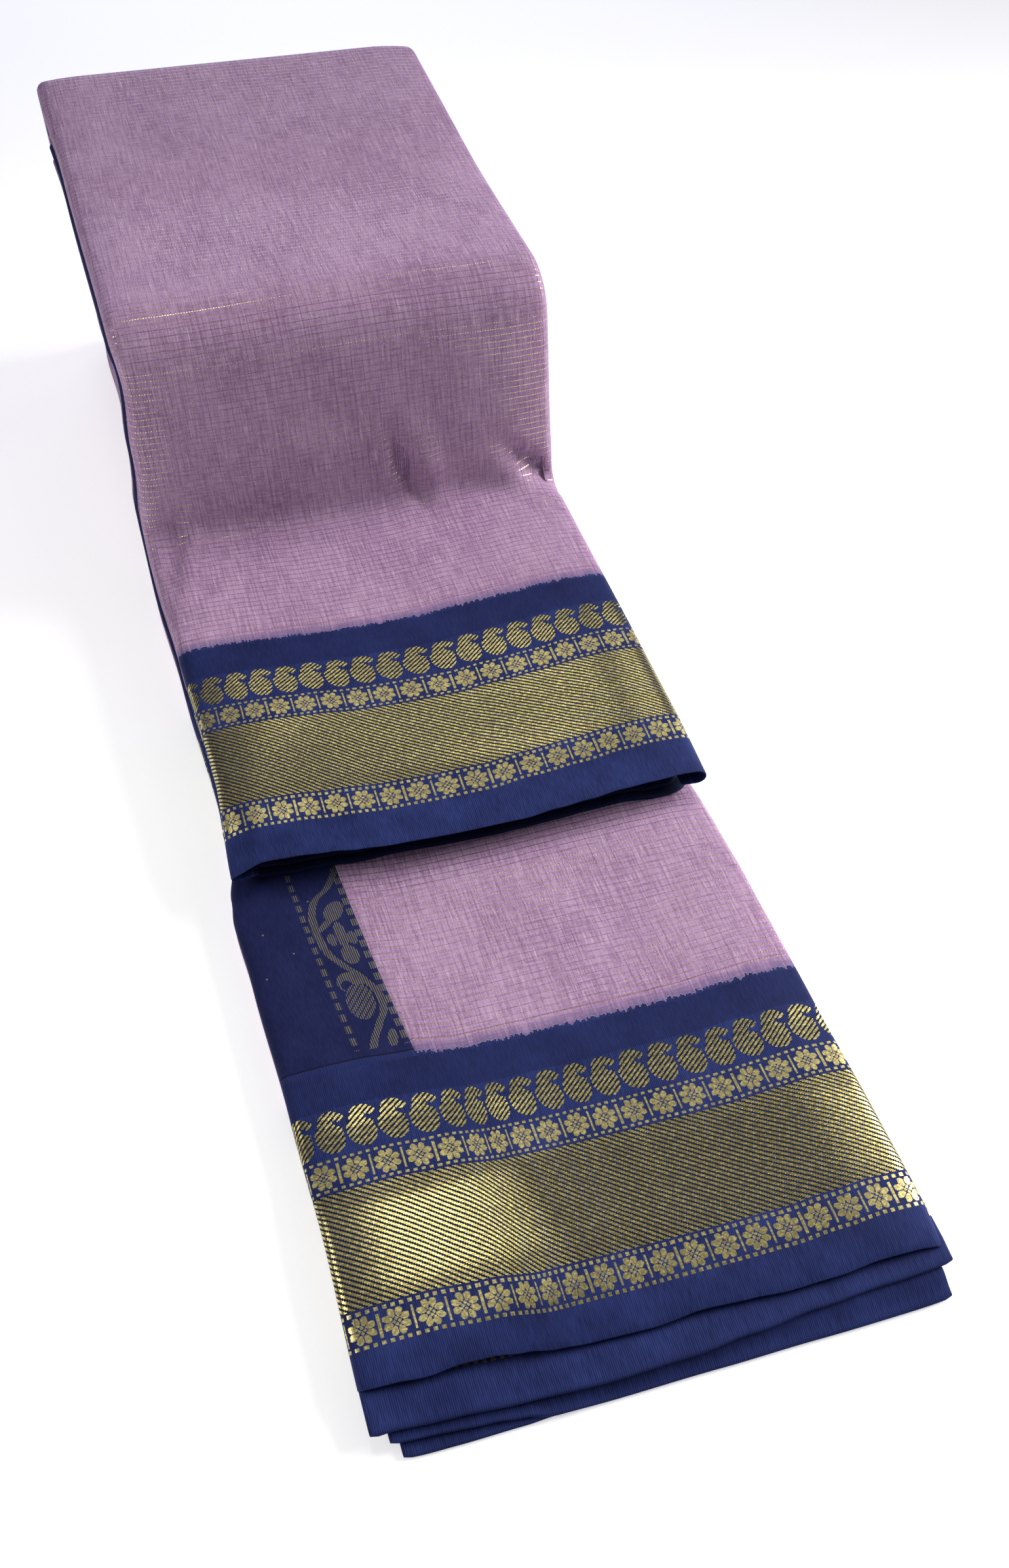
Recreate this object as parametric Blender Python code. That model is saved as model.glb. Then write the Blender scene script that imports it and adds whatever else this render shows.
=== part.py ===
# A sari folded lengthwise into a strip, folded once across, and laid flat with its far half raised.
# Metres, +Z up, +Y away from the open ends towards the fold. The strip lies along Y.
import math

import bpy
import bmesh

# Driving sizes
HALF_WIDTH = 0.100        # half of the strip's widest place
WALL = 0.0017             # a cover ply and the plies pressed against it
SEAM = 0.0003             # gap between neighbouring pieces
SKEW = -0.055             # the cross lines run nearer on the right by this share of x
MIDDLE_Y = 0.31617        # halfway between the nearest and the farthest point, moved to the origin
BORDER_LENGTH = 0.1215    # selvedge to ground on the upper tier
LOWER_BORDER_LENGTH = 0.1145
PALLU_RIGHT = -0.0500     # where the end piece meets the lilac ground at the border
PALLU_LEAN = -0.065       # the meeting line drifts left by this share of its length
UPPER_EDGE_Y = 0.1994     # the upper tier's open end, before the skew
TIER_BACK_Y = 0.2360      # the visible lower plies stop here, under the upper tier
LOWER_TOP = 0.0140        # height of the lower tier where the upper one lies on it
SIDE_CORNER = 0.0042      # radius of the upper tier's folded sides, top and bottom
SIDE_RETURN = 0.0050      # how far a cover ply turns back under the strip
LIP_RADIUS = 0.0030       # a lower ply's edge turned down
LIP_TURN = math.radians(120.0)
LIP_STEPS = 4
NAVY_LINE = 0.0012        # how far the navy edge fold passes the upper tier on the left
RAISED_UPPER_SHARE = 0.54  # share of the raised strip's depth that is the upper tier
LOW_FOLDS = 3              # fat folds that show on the lower tier's side
EDGE_FOLD_REACH = 0.0075  # how far the navy edge fold lies in under the upper tier
WIDEST_LEFT = 0.190       # where the lower tier reaches farthest left, by length along it
STRIP_END_Y = 0.5975      # the layered sides stop here, short of the fold at the far end
CORE_START_Y = 0.5835     # the layers inside the far fold start here, within the strip's
PILE_FRONT_Y = 0.4240
PILE_BACK_Y = 0.6330
PILE_TOP = 0.1203
PILE_SLOPE_Z = 0.1000     # above this the pile's front leans back under the bend
PILE_HALF_WIDTH = 0.0925
PILE_FOLDS = 9            # fat folds in the raised pile
PILE_GROOVE = 0.0028
PILE_CORNER = 0.0120      # rounded corners at the pile's far end
PILE_SHIFT = 0.0016       # how far a fold lies off the one below, across and back
PILE_SHIFT_BACK = 0.0022
FAR_Y = 0.6445            # outside of the fold at the far end
FAR_LIFT = 0.0020         # the far end stands this much higher in the middle
FAR_TWIST = 0.0130        # and this share of x higher on the left
FAR_TWIST_Y = (0.460, 0.640)
FAR_TOP = 0.1482
FAR_BOTTOM = 0.1206
FAR_RADIUS = 0.0132

# Fat folds that show on the sides of the hidden layers
FOLD_INSET = 0.0006       # a fold's face behind the tier's edge
FOLD_GROOVE = 0.0030      # a groove between two folds behind the edge
FOLD_FOOT = 0.0026        # the lowest fold's foot behind the edge
TUCKED_INSET = 0.0038     # the first fold under the navy edge fold starts this much farther in
OPEN_SHELF = 0.0060       # where there is no edge fold, the shelf under the tier is this deep
OPEN_LIP = 0.0022
LOW_RIGHT_INSET = 0.0008  # the lower tier behind the upper one on the right
SLAB_NOTCH = 0.0022       # room for a lower cover ply's lip

# Where the strip counts as lying on the floor
FLOOR_MAX_Z = 0.060
FLOOR_MIN_OUT_Z = 0.70

# Where the soft folds die out, by length along each tier
UPPER_FADE = (0.395, 0.455)
UPPER_FADE_IN = 0.030
LOWER_FADE = (0.160, 0.190)
LOWER_FADE_IN = 0.020

# Edges of the thin plies
NEAR_ROUNDING = 0.0008
MOUTH_WAVE = 0.0007

# Sampling of the forms
ARC_STEP = math.radians(17.0)
RUN_STEP = 0.0190
STOP_CLEAR = 0.0030       # no other station this near to a stop
MIN_STEP = 0.0004
SLOPE_REACH = 0.0012      # the direction out of the cloth is measured over this much either side
COLUMNS = 12
PALLU_COLUMNS = 4         # columns of the end piece, out of COLUMNS

# Upper tier's top line seen from the side: y, z and the radius at each corner
UPPER_LINE = (
    # y, z, radius
    (UPPER_EDGE_Y, 0.0285, 0.0),
    (0.2320, 0.0318, 0.10),
    (0.3000, 0.0342, 0.30),
    (0.3960, 0.0362, 0.009),
    (0.4085, 0.1378, 0.0256),
    (0.5200, 0.1384, 0.60),
    (FAR_Y, FAR_TOP, FAR_RADIUS),
    (FAR_Y, FAR_BOTTOM, FAR_RADIUS),
    (0.6020, FAR_BOTTOM, 0.0),
)

# Lower tier's top line: y, z and the radius at each corner
LOWER_LINE = (
    # y, z, radius
    (0.0000, 0.0138, 0.0),
    (0.0300, 0.0165, 0.05),
    (0.0600, 0.0165, 0.05),
    (0.0900, 0.0142, 0.05),
    (TIER_BACK_Y, LOWER_TOP, 0.0),
)

# How far the folded sides stand in from the widest place, by length along the tier's line
UPPER_SIDES = (
    # length, left inset, right inset
    (0.000, 0.0031, 0.0002),
    (0.051, 0.0062, 0.0000),
    (0.128, 0.0036, 0.0000),
    (0.190, 0.0014, 0.0000),
    (0.235, 0.0052, 0.0006),
    (0.268, 0.0080, 0.0006),
    (0.300, 0.0065, 0.0006),
    (0.440, 0.0048, 0.0002),
    (0.500, 0.0026, 0.0002),
)
LOWER_SIDES = (
    # length, left inset, right inset
    (0.000, 0.0034, 0.0004),
    (0.056, 0.0042, 0.0006),
    (0.106, 0.0030, 0.0002),
    (0.163, 0.0012, 0.0006),
    (0.190, 0.0000, 0.0014),
    (0.202, 0.0012, 0.0020),
    (0.216, 0.0038, 0.0030),
    (0.236, 0.0042, 0.0036),
)

# Half the height of the folded side of the upper tier, by length along its line
UPPER_HALF = (
    # length, half height
    (0.000, 0.0044),
    (0.034, 0.0080),
    (0.100, 0.0092),
    (0.198, 0.0098),
    (0.222, 0.0062),
    (0.290, 0.0058),
    (0.350, 0.0062),
    (0.430, 0.0060),
    (0.480, 0.0046),
)

# Depth of the hidden layers under the upper tier's line, where they do not reach the floor
STRIP_DEPTH = (
    # length, depth
    (0.196, 0.0520),
    (0.199, 0.0420),
    (0.204, 0.0300),
    (0.216, 0.0240),
    (0.290, 0.0200),
    (0.350, 0.0250),
    (0.600, 0.0250),
)

# Soft folds pressed into the upper tier: place, reach across and along, turn and height
UPPER_FOLDS = (
    # x, length, across, along, turn in degrees, height
    (0.028, 0.212, 0.007, 0.020, 24.0, -0.0032),
    (0.041, 0.214, 0.008, 0.018, 20.0, 0.0022),
    (0.081, 0.206, 0.009, 0.016, 38.0, -0.0030),
    (0.070, 0.220, 0.012, 0.020, 30.0, 0.0018),
    (-0.088, 0.186, 0.012, 0.008, -60.0, -0.0016),
    (-0.010, 0.250, 0.050, 0.022, 0.0, -0.0026),
    (0.010, 0.196, 0.060, 0.010, 4.0, 0.0012),
    (-0.060, 0.065, 0.022, 0.034, 30.0, 0.0012),
    (0.030, 0.070, 0.040, 0.030, 0.0, -0.0010),
    (0.000, 0.390, 0.070, 0.040, 10.0, -0.0014),
)

# Soft folds pressed into the lower tier
LOWER_FOLDS = (
    # x, length, across, along, turn in degrees, height
    (-0.052, 0.046, 0.020, 0.030, 32.0, 0.0018),
    (0.024, 0.050, 0.040, 0.026, 10.0, -0.0012),
    (0.062, 0.128, 0.016, 0.034, -48.0, -0.0014),
    (0.020, 0.138, 0.024, 0.030, -40.0, 0.0010),
)

# A fat fold's face on the side of the strip, from its top down
FOLD_FACE = (
    # share of the fold's height, share of the tucked inset
    (0.30, 1.0),
    (0.75, 0.4),
)

# The lower tier's side under its cover ply: two fat folds
SLAB_FACE = (
    # share of the height, inset
    (0.56, 0.0008),
    (0.44, 0.0028),
    (0.34, 0.0006),
    (0.10, 0.0006),
    (0.00, 0.0020),
)

# A fat fold of the raised pile
PILE_FACE = (
    # share of the fold's height, inset
    (0.00, PILE_GROOVE),
    (0.22, 0.0006),
    (0.55, 0.0000),
    (0.84, 0.0008),
)

# Navy plies at the near end: their heights, their edges and their sides
NEAR_PLIES = (
    # name, bottom, top at the back, top at the edge, left edge y, right edge y, left x, right x, wave
    ("ply_b", 0.0064, 0.0096, 0.0090, -0.0119, -0.0056, -0.0955, 0.1000, 0.0007),
    ("ply_c", 0.0033, 0.0061, 0.0057, -0.0150, -0.0056, -0.0900, 0.0962, 0.0007),
    ("ply_d", 0.0000, 0.0030, 0.0026, -0.0167, -0.0128, -0.0871, 0.0963, 0.0001),
)
NEAR_BACK_Y = 0.0215

# Plies inside the open end of the upper tier
MOUTH_PLIES = (
    # name, bottom, top, left edge y, right edge y, left x, right x
    ("upper_under", 0.0143, 0.0160, 0.1978, 0.1984, -0.0815, 0.0840),
    ("upper_inner", 0.0163, 0.0185, 0.2046, 0.2076, -0.0812, 0.0780),
    ("upper_inner_fold", 0.0188, 0.0212, 0.2086, 0.2150, -0.0840, 0.0360),
)

COLOURS = {
    # piece: red, green, blue, roughness
    "upper_body": (0.36, 0.24, 0.38, 0.62),
    "upper_border": (0.030, 0.036, 0.13, 0.55),
    "upper_inner": (0.020, 0.026, 0.10, 0.60),
    "upper_inner_fold": (0.022, 0.028, 0.11, 0.60),
    "upper_under": (0.020, 0.026, 0.10, 0.60),
    "lower_body": (0.42, 0.28, 0.42, 0.60),
    "lower_pallu": (0.024, 0.028, 0.10, 0.58),
    "lower_border": (0.030, 0.036, 0.13, 0.55),
    "pallu_edge": (0.024, 0.028, 0.10, 0.60),
    "ply_b": (0.026, 0.032, 0.12, 0.60),
    "ply_c": (0.024, 0.030, 0.11, 0.60),
    "ply_d": (0.024, 0.030, 0.11, 0.60),
    "hidden_layers": (0.30, 0.20, 0.33, 0.70),
}


def smooth_step(share):
    return share * share * (3.0 - 2.0 * share)


def read_table(table, place, column):
    """Value of a column at a place, eased between the table's rows."""
    if place <= table[0][0]:
        return table[0][column]
    for low, high in zip(table, table[1:]):
        if place <= high[0]:
            share = (place - low[0]) / (high[0] - low[0])
            return low[column] + (high[column] - low[column]) * smooth_step(share)
    return table[-1][column]


class Station:
    """A place on a tier's top line, with the direction that points out of the cloth."""

    def __init__(self, length, y, z, out_y, out_z):
        self.length = length
        self.y = y
        self.z = z
        self.out_y = out_y
        self.out_z = out_z

    def at(self, x, depth):
        return (x, self.y - self.out_y * depth, self.z - self.out_z * depth)


def corner_arc(before, corner, after, radius):
    """Points of the arc that rounds one corner of a line."""
    back = (before[0] - corner[0], before[1] - corner[1])
    ahead = (after[0] - corner[0], after[1] - corner[1])
    back_size = math.hypot(*back)
    ahead_size = math.hypot(*ahead)
    back = (back[0] / back_size, back[1] / back_size)
    ahead = (ahead[0] / ahead_size, ahead[1] / ahead_size)
    turn = math.pi - math.acos(max(-1.0, min(1.0, back[0] * ahead[0] + back[1] * ahead[1])))
    reach = radius * math.tan(turn / 2.0)
    middle = (back[0] + ahead[0], back[1] + ahead[1])
    middle_size = math.hypot(*middle)
    to_centre = radius / math.cos(turn / 2.0) / middle_size
    centre = (corner[0] + middle[0] * to_centre, corner[1] + middle[1] * to_centre)
    start = (corner[0] + back[0] * reach, corner[1] + back[1] * reach)
    finish = (corner[0] + ahead[0] * reach, corner[1] + ahead[1] * reach)
    first = math.atan2(start[1] - centre[1], start[0] - centre[0])
    last = math.atan2(finish[1] - centre[1], finish[0] - centre[0])
    sweep = (last - first + math.pi) % (2.0 * math.pi) - math.pi
    steps = max(2, math.ceil(abs(sweep) / ARC_STEP))
    points = []
    for step in range(steps + 1):
        angle = first + sweep * step / steps
        points.append((centre[0] + radius * math.cos(angle), centre[1] + radius * math.sin(angle)))
    return points


def line_stations(line, stops=()):
    """Stations along a tier's line, with one at each stop, given as a length along the line."""
    points = [line[0][:2]]
    for before, corner, after in zip(line, line[1:], line[2:]):
        points += corner_arc(before[:2], corner[:2], after[:2], corner[2])
    points.append(line[-1][:2])
    lengths = [0.0]
    for low, high in zip(points, points[1:]):
        lengths.append(lengths[-1] + math.dist(low, high))
    places = set()
    for low, high in zip(lengths, lengths[1:]):
        steps = max(1, math.ceil((high - low) / RUN_STEP))
        places.update(low + (high - low) * step / steps for step in range(steps + 1))
    for stop in stops:
        places = {place for place in places if abs(place - stop) > STOP_CLEAR}
        places.add(stop)
    ordered = sorted(places)
    kept = [ordered[0]]
    for place in ordered[1:]:
        if place - kept[-1] > MIN_STEP:
            kept.append(place)

    def on_line(place):
        place = max(0.0, min(lengths[-1], place))
        for index in range(len(lengths) - 1):
            if place <= lengths[index + 1]:
                break
        low, high = points[index], points[index + 1]
        share = (place - lengths[index]) / max(1e-9, lengths[index + 1] - lengths[index])
        return low[0] + (high[0] - low[0]) * share, low[1] + (high[1] - low[1]) * share

    stations = []
    for place in kept:
        y, z = on_line(place)
        behind = on_line(place - SLOPE_REACH)
        beyond = on_line(place + SLOPE_REACH)
        run = math.dist(behind, beyond)
        along = ((beyond[0] - behind[0]) / run, (beyond[1] - behind[1]) / run)
        stations.append(Station(place, y, z, -along[1], along[0]))
    return stations


def clamp(share):
    return max(0.0, min(1.0, share))


def faded(length, full_from, gone):
    """How much of the soft folds shows at a length along a tier."""
    start, finish = gone
    fade = smooth_step(clamp((finish - length) / (finish - start)))
    return fade * smooth_step(clamp(length / full_from))


def fold_height(folds, x, length):
    """Height of the soft folds over the even cloth."""
    height = 0.0
    for fold_x, fold_length, across, along, turn, rise in folds:
        angle = math.radians(turn)
        side = x - fold_x
        ahead = length - fold_length
        over = (side * math.cos(angle) - ahead * math.sin(angle)) / across
        down = (side * math.sin(angle) + ahead * math.cos(angle)) / along
        height += rise * math.exp(-over * over - down * down)
    return height


def upper_height(x, length):
    """Soft folds of the upper tier, dying out towards its ends."""
    shown = faded(length, UPPER_FADE_IN, UPPER_FADE)
    return fold_height(UPPER_FOLDS, x, length) * shown


def lower_height(x, length):
    """Soft folds of the lower tier, gone where the upper tier lies on it."""
    shown = faded(length, LOWER_FADE_IN, LOWER_FADE)
    return fold_height(LOWER_FOLDS, x, length) * shown


def spread(first, last, count):
    return [first + (last - first) * index / (count - 1) for index in range(count)]


def lip_turn(edge, outward):
    """Outer and inner points of a lower ply's edge, turned down over the plies under it."""
    points = []
    centre = edge - outward * LIP_RADIUS
    inside = LIP_RADIUS - WALL
    for step in range(1, LIP_STEPS + 1):
        angle = LIP_TURN * step / LIP_STEPS
        points.append((
            (centre + outward * LIP_RADIUS * math.sin(angle), LIP_RADIUS - LIP_RADIUS * math.cos(angle)),
            (centre + outward * inside * math.sin(angle), LIP_RADIUS - inside * math.cos(angle)),
        ))
    return points


def wrap_turn(edge, half, wall, outward):
    """Outer and inner points of a ply folded down a side of the upper tier and back under it."""
    points = []
    centre = edge - outward * SIDE_CORNER
    for angle, depth in side_corners(half):
        outer = SIDE_CORNER
        inner = SIDE_CORNER - wall
        points.append((
            (centre + outward * outer * math.sin(angle), depth - outer * math.cos(angle)),
            (centre + outward * inner * math.sin(angle), depth - inner * math.cos(angle)),
        ))
    points.append((
        (centre - outward * SIDE_RETURN, 2.0 * half),
        (centre - outward * SIDE_RETURN, 2.0 * half - wall),
    ))
    return points


def side_corners(half):
    """Angles round the two corners of a folded side, each with its corner's depth."""
    low = 2.0 * half - SIDE_CORNER
    steps = ((45.0, SIDE_CORNER), (90.0, SIDE_CORNER), (90.0, low), (135.0, low), (180.0, low))
    return [(math.radians(degrees), depth) for degrees, depth in steps]


def settle(point):
    """Skew the cross lines, raise the far end a little on the left and centre the whole."""
    x, y, z = point
    start, finish = FAR_TWIST_Y
    share = smooth_step(clamp((y - start) / (finish - start)))
    lift = (FAR_LIFT - FAR_TWIST * x) * share * z / FAR_TOP
    return (x, y + SKEW * x - MIDDLE_Y, z + lift)


def new_piece(name, bm):
    """Turn a closed bmesh into a named object with its own material."""
    for vert in bm.verts:
        vert.co = settle(vert.co)
    bmesh.ops.recalc_face_normals(bm, faces=bm.faces)
    mesh = bpy.data.meshes.new(name)
    bm.to_mesh(mesh)
    bm.free()
    mesh.shade_smooth()
    mesh.set_sharp_from_angle(angle=math.radians(50.0))
    piece = bpy.data.objects.new(name, mesh)
    bpy.context.scene.collection.objects.link(piece)
    red, green, blue, roughness = COLOURS[name]
    material = bpy.data.materials.new(name)
    material.use_nodes = True
    shader = material.node_tree.nodes["Principled BSDF"]
    shader.inputs["Base Color"].default_value = (red, green, blue, 1.0)
    shader.inputs["Roughness"].default_value = roughness
    shader.inputs["Metallic"].default_value = 0.0
    mesh.materials.append(material)
    return piece


def closed_sheet(bm, outer_rows, inner_rows):
    """Close two grids of points into one wall."""
    outer = [[bm.verts.new(point) for point in row] for row in outer_rows]
    inner = [[bm.verts.new(point) for point in row] for row in inner_rows]
    rows = len(outer)
    columns = len(outer[0])
    for row in range(rows - 1):
        for column in range(columns - 1):
            for grid in (outer, inner):
                bm.faces.new((
                    grid[row][column], grid[row][column + 1],
                    grid[row + 1][column + 1], grid[row + 1][column],
                ))
        for column in (0, columns - 1):
            bm.faces.new((
                outer[row][column], outer[row + 1][column],
                inner[row + 1][column], inner[row][column],
            ))
    for row in (0, rows - 1):
        for column in range(columns - 1):
            bm.faces.new((
                outer[row][column], outer[row][column + 1],
                inner[row][column + 1], inner[row][column],
            ))


def sheet_piece(name, stations, section):
    """A wall swept along stations. The section gives outer and inner (x, depth) pairs."""
    outer_rows = []
    inner_rows = []
    for station in stations:
        pairs = section(station)
        outer_rows.append([station.at(*outer) for outer, inner in pairs])
        inner_rows.append([station.at(*inner) for outer, inner in pairs])
    bm = bmesh.new()
    closed_sheet(bm, outer_rows, inner_rows)
    return new_piece(name, bm)


def upper_sides(length):
    left = -HALF_WIDTH + read_table(UPPER_SIDES, length, 1)
    right = HALF_WIDTH - read_table(UPPER_SIDES, length, 2)
    return left, right, read_table(UPPER_HALF, length, 1)


def lower_sides(length):
    left = -HALF_WIDTH + read_table(LOWER_SIDES, length, 1)
    right = HALF_WIDTH - read_table(LOWER_SIDES, length, 2)
    return left, right


def top_pairs(columns, length, height):
    """Outer and inner points of a ply's flat stretch, with its soft folds."""
    pairs = []
    for x in columns:
        rise = height(x, length)
        pairs.append(((x, -rise), (x, WALL - rise)))
    return pairs


def upper_section(station):
    left, right, half = upper_sides(station.length)
    pairs = list(reversed(wrap_turn(left, half, WALL, -1.0)))
    columns = spread(left + SIDE_CORNER, right - SIDE_CORNER, COLUMNS)
    pairs += top_pairs(columns, station.length, upper_height)
    pairs += wrap_turn(right, half, WALL, 1.0)
    return pairs


def lower_section(station):
    left, right = lower_sides(station.length)
    pairs = list(reversed(lip_turn(left, -1.0)))
    pairs += top_pairs(border_columns(station.length), station.length, lower_height)
    pairs += lip_turn(right, 1.0)
    return pairs


def border_columns(length):
    left, right = lower_sides(length)
    return spread(left + LIP_RADIUS, right - LIP_RADIUS, COLUMNS)


def pallu_meeting(length):
    """x of the line where the end piece meets the ground, by length along the lower tier."""
    return PALLU_RIGHT + PALLU_LEAN * (length - LOWER_BORDER_LENGTH)


def pallu_section(station):
    left, _ = lower_sides(station.length)
    columns = lower_columns(station.length)[:PALLU_COLUMNS]
    return list(reversed(lip_turn(left, -1.0))) + top_pairs(columns, station.length, lower_height)


def ground_section(station):
    _, right = lower_sides(station.length)
    columns = lower_columns(station.length)[PALLU_COLUMNS:]
    return top_pairs(columns, station.length, lower_height) + lip_turn(right, 1.0)


def lower_columns(length):
    """Columns of the lower tier past its border, with a pair either side of the meeting line."""
    left, right = lower_sides(length)
    meeting = pallu_meeting(length)
    pallu = spread(left + LIP_RADIUS, meeting - SEAM / 2.0, PALLU_COLUMNS)
    ground = spread(meeting + SEAM / 2.0, right - LIP_RADIUS, COLUMNS - PALLU_COLUMNS)
    return pallu + ground


def edge_fold_section(station):
    """The navy fold of the end piece under the left side of the upper tier."""
    left = low_strip_left(station)
    depth = low_strip_depth(station)
    pairs = list(reversed(lip_turn(left, -1.0)))
    for x in (left + LIP_RADIUS, left + LIP_RADIUS + EDGE_FOLD_REACH):
        pairs.append(((x, 0.0), (x, WALL)))
    return [((outer[0], outer[1] + depth), (inner[0], inner[1] + depth)) for outer, inner in pairs]


def low_strip_depth(station):
    """Depth of the lower tier's top under the upper tier's line."""
    _, _, half = upper_sides(station.length)
    share = 1.0 - LOWER_TOP / station.z if on_floor(station) else RAISED_UPPER_SHARE
    return max(2.0 * half + 4.0 * SEAM, strip_depth(station) * share)


def on_floor(station):
    """Whether the hidden layers under this station reach the floor."""
    return station.z < FLOOR_MAX_Z and station.out_z > FLOOR_MIN_OUT_Z


def low_strip_left(station):
    """Left side of the lower tier under the upper one, which it passes by a thin navy line."""
    left, _, _ = upper_sides(station.length)
    return max(-HALF_WIDTH, left - NAVY_LINE)


def strip_depth(station):
    """Depth of the hidden layers under the upper tier's line."""
    if on_floor(station):
        return station.z / station.out_z
    return read_table(STRIP_DEPTH, station.length, 1)


def strip_ring(station):
    """Closed section of the hidden layers inside the upper tier, with layered sides below it."""
    left, right, half = upper_sides(station.length)
    bottom = strip_depth(station)
    low_top = low_strip_depth(station)
    low_left = low_strip_left(station)
    ring = []
    for x in spread(left + SIDE_CORNER, right - SIDE_CORNER, COLUMNS):
        ring.append((x, WALL + SEAM - upper_height(x, station.length)))
    ring += strip_side(right, right - LOW_RIGHT_INSET, half, low_top, bottom, 1.0, False)
    ring += list(reversed(strip_side(left, low_left, half, low_top, bottom, -1.0, True)))
    return ring


def strip_side(edge, low_edge, half, low_top, bottom, outward, notched):
    """One side of the hidden layers, from the top down: the tier's folded side, then fat folds."""
    cover = WALL + SEAM
    inside = SIDE_CORNER - cover
    centre = edge - outward * SIDE_CORNER
    points = []
    for angle, depth in side_corners(half):
        points.append((centre + outward * inside * math.sin(angle), depth - inside * math.cos(angle)))
    slot = centre - outward * (SIDE_RETURN + SEAM)
    points.append((slot, 2.0 * half - cover))
    points.append((slot, 2.0 * half + SEAM))
    if notched:
        shelf = low_edge - outward * (LIP_RADIUS + EDGE_FOLD_REACH + 2.0 * SEAM)
        points.append((shelf, low_top - SEAM))
        points.append((shelf, low_top + cover + SEAM))
        first = low_top + cover + SEAM
        tucked = TUCKED_INSET
    else:
        points.append((low_edge - outward * OPEN_SHELF, low_top - SEAM / 2.0))
        points.append((low_edge - outward * OPEN_LIP, low_top))
        first = low_top
        tucked = 0.0
    thickness = (bottom - first) / LOW_FOLDS
    for fold in range(LOW_FOLDS):
        high = first + thickness * fold
        if fold > 0:
            points.append((low_edge - outward * FOLD_GROOVE, high))
        for share, kept in FOLD_FACE:
            points.append((low_edge - outward * (tucked * kept + FOLD_INSET), high + thickness * share))
        tucked = 0.0
    points.append((low_edge - outward * FOLD_FOOT, bottom))
    return points


def loft(bm, rings):
    """Skin closed rings of points and close both ends."""
    grid = [[bm.verts.new(point) for point in ring] for ring in rings]
    count = len(grid[0])
    for low, high in zip(grid, grid[1:]):
        for index in range(count):
            after = (index + 1) % count
            bm.faces.new((low[index], low[after], high[after], high[index]))
    bm.faces.new(grid[0])
    bm.faces.new(list(reversed(grid[-1])))


def strip_body(stations):
    """Hidden layers inside the upper tier and under it."""
    rings = []
    for station in stations:
        rings.append([station.at(x, depth) for x, depth in strip_ring(station)])
    bm = bmesh.new()
    loft(bm, rings)
    return bm


def core_body(stations):
    """Hidden layers inside the fold at the far end, ending in a round nose."""
    cover = WALL + SEAM
    bottom = FAR_BOTTOM + cover + SEAM
    left, right, _ = upper_sides(stations[0].length)
    left += SIDE_CORNER + SIDE_RETURN + 2.0 * SEAM
    right -= SIDE_CORNER + SIDE_RETURN + 2.0 * SEAM
    line = [(station.y, station.z - cover - SEAM) for station in stations]
    nose = (line[-1][1] - bottom) / 2.0
    centre_z = bottom + nose
    for degrees in (60.0, 30.0, 0.0, -30.0, -60.0, -90.0):
        angle = math.radians(degrees)
        line.append((FAR_Y - FAR_RADIUS + nose * math.cos(angle), centre_z + nose * math.sin(angle)))
    line.append((stations[0].y, bottom))
    bm = bmesh.new()
    loft(bm, [[(x, y, z) for y, z in line] for x in (left, right)])
    return bm


def slab_ring(station, columns):
    """Closed section of the hidden layers under the lower tier's cover plies."""
    left, right = lower_sides(station.length)
    cover = WALL + SEAM
    ring = [(x, station.y, station.z - cover + lower_height(x, station.length)) for x in columns]
    ring += [(x, station.y, z) for x, z in slab_side(right, station.z, 1.0)]
    ring += [(x, station.y, z) for x, z in reversed(slab_side(left, station.z, -1.0))]
    return ring


def slab_body(border, body):
    """Hidden layers of the lower tier, from behind the near plies to inside the upper tier's layers."""
    rings = []
    for station in border:
        rings.append(slab_ring(station, border_columns(station.length)))
    for station in body:
        rings.append(slab_ring(station, lower_columns(station.length)))
    for y in (TIER_BACK_Y + 0.0001, TIER_BACK_Y + 0.0140):
        rings.append([(x * 0.95, y, 0.0010 + z * 0.80) for x, _, z in rings[len(border) + len(body) - 1]])
    bm = bmesh.new()
    loft(bm, rings)
    return bm


def slab_side(edge, top, outward):
    """Side of the lower tier under its cover ply: a notch for the ply's edge and two fat folds."""
    inside = WALL + 2.0 * SEAM
    notch = top - LIP_RADIUS - SLAB_NOTCH
    points = [(edge - outward * inside, top - LIP_RADIUS), (edge - outward * inside, notch)]
    points.append((edge - outward * SLAB_FACE[0][1], notch - SLAB_FACE[0][1]))
    for share, inset in SLAB_FACE:
        points.append((edge - outward * inset, notch * share))
    return points


def pile_body():
    """The raised pile: fat folds one on another, each a little off the one below."""
    rings = []
    for fold in range(PILE_FOLDS):
        low = PILE_TOP * fold / PILE_FOLDS
        high = PILE_TOP * (fold + 1) / PILE_FOLDS
        shift = PILE_SHIFT * math.sin(2.1 * fold + 0.6)
        shift_back = PILE_SHIFT_BACK * math.sin(1.7 * fold + 2.0)
        for share, inset in PILE_FACE:
            rings.append(pile_ring(low + (high - low) * share, inset, shift, shift_back))
    rings.append(pile_ring(PILE_TOP, PILE_GROOVE, 0.0, 0.0))
    bm = bmesh.new()
    loft(bm, rings)
    return bm


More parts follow.
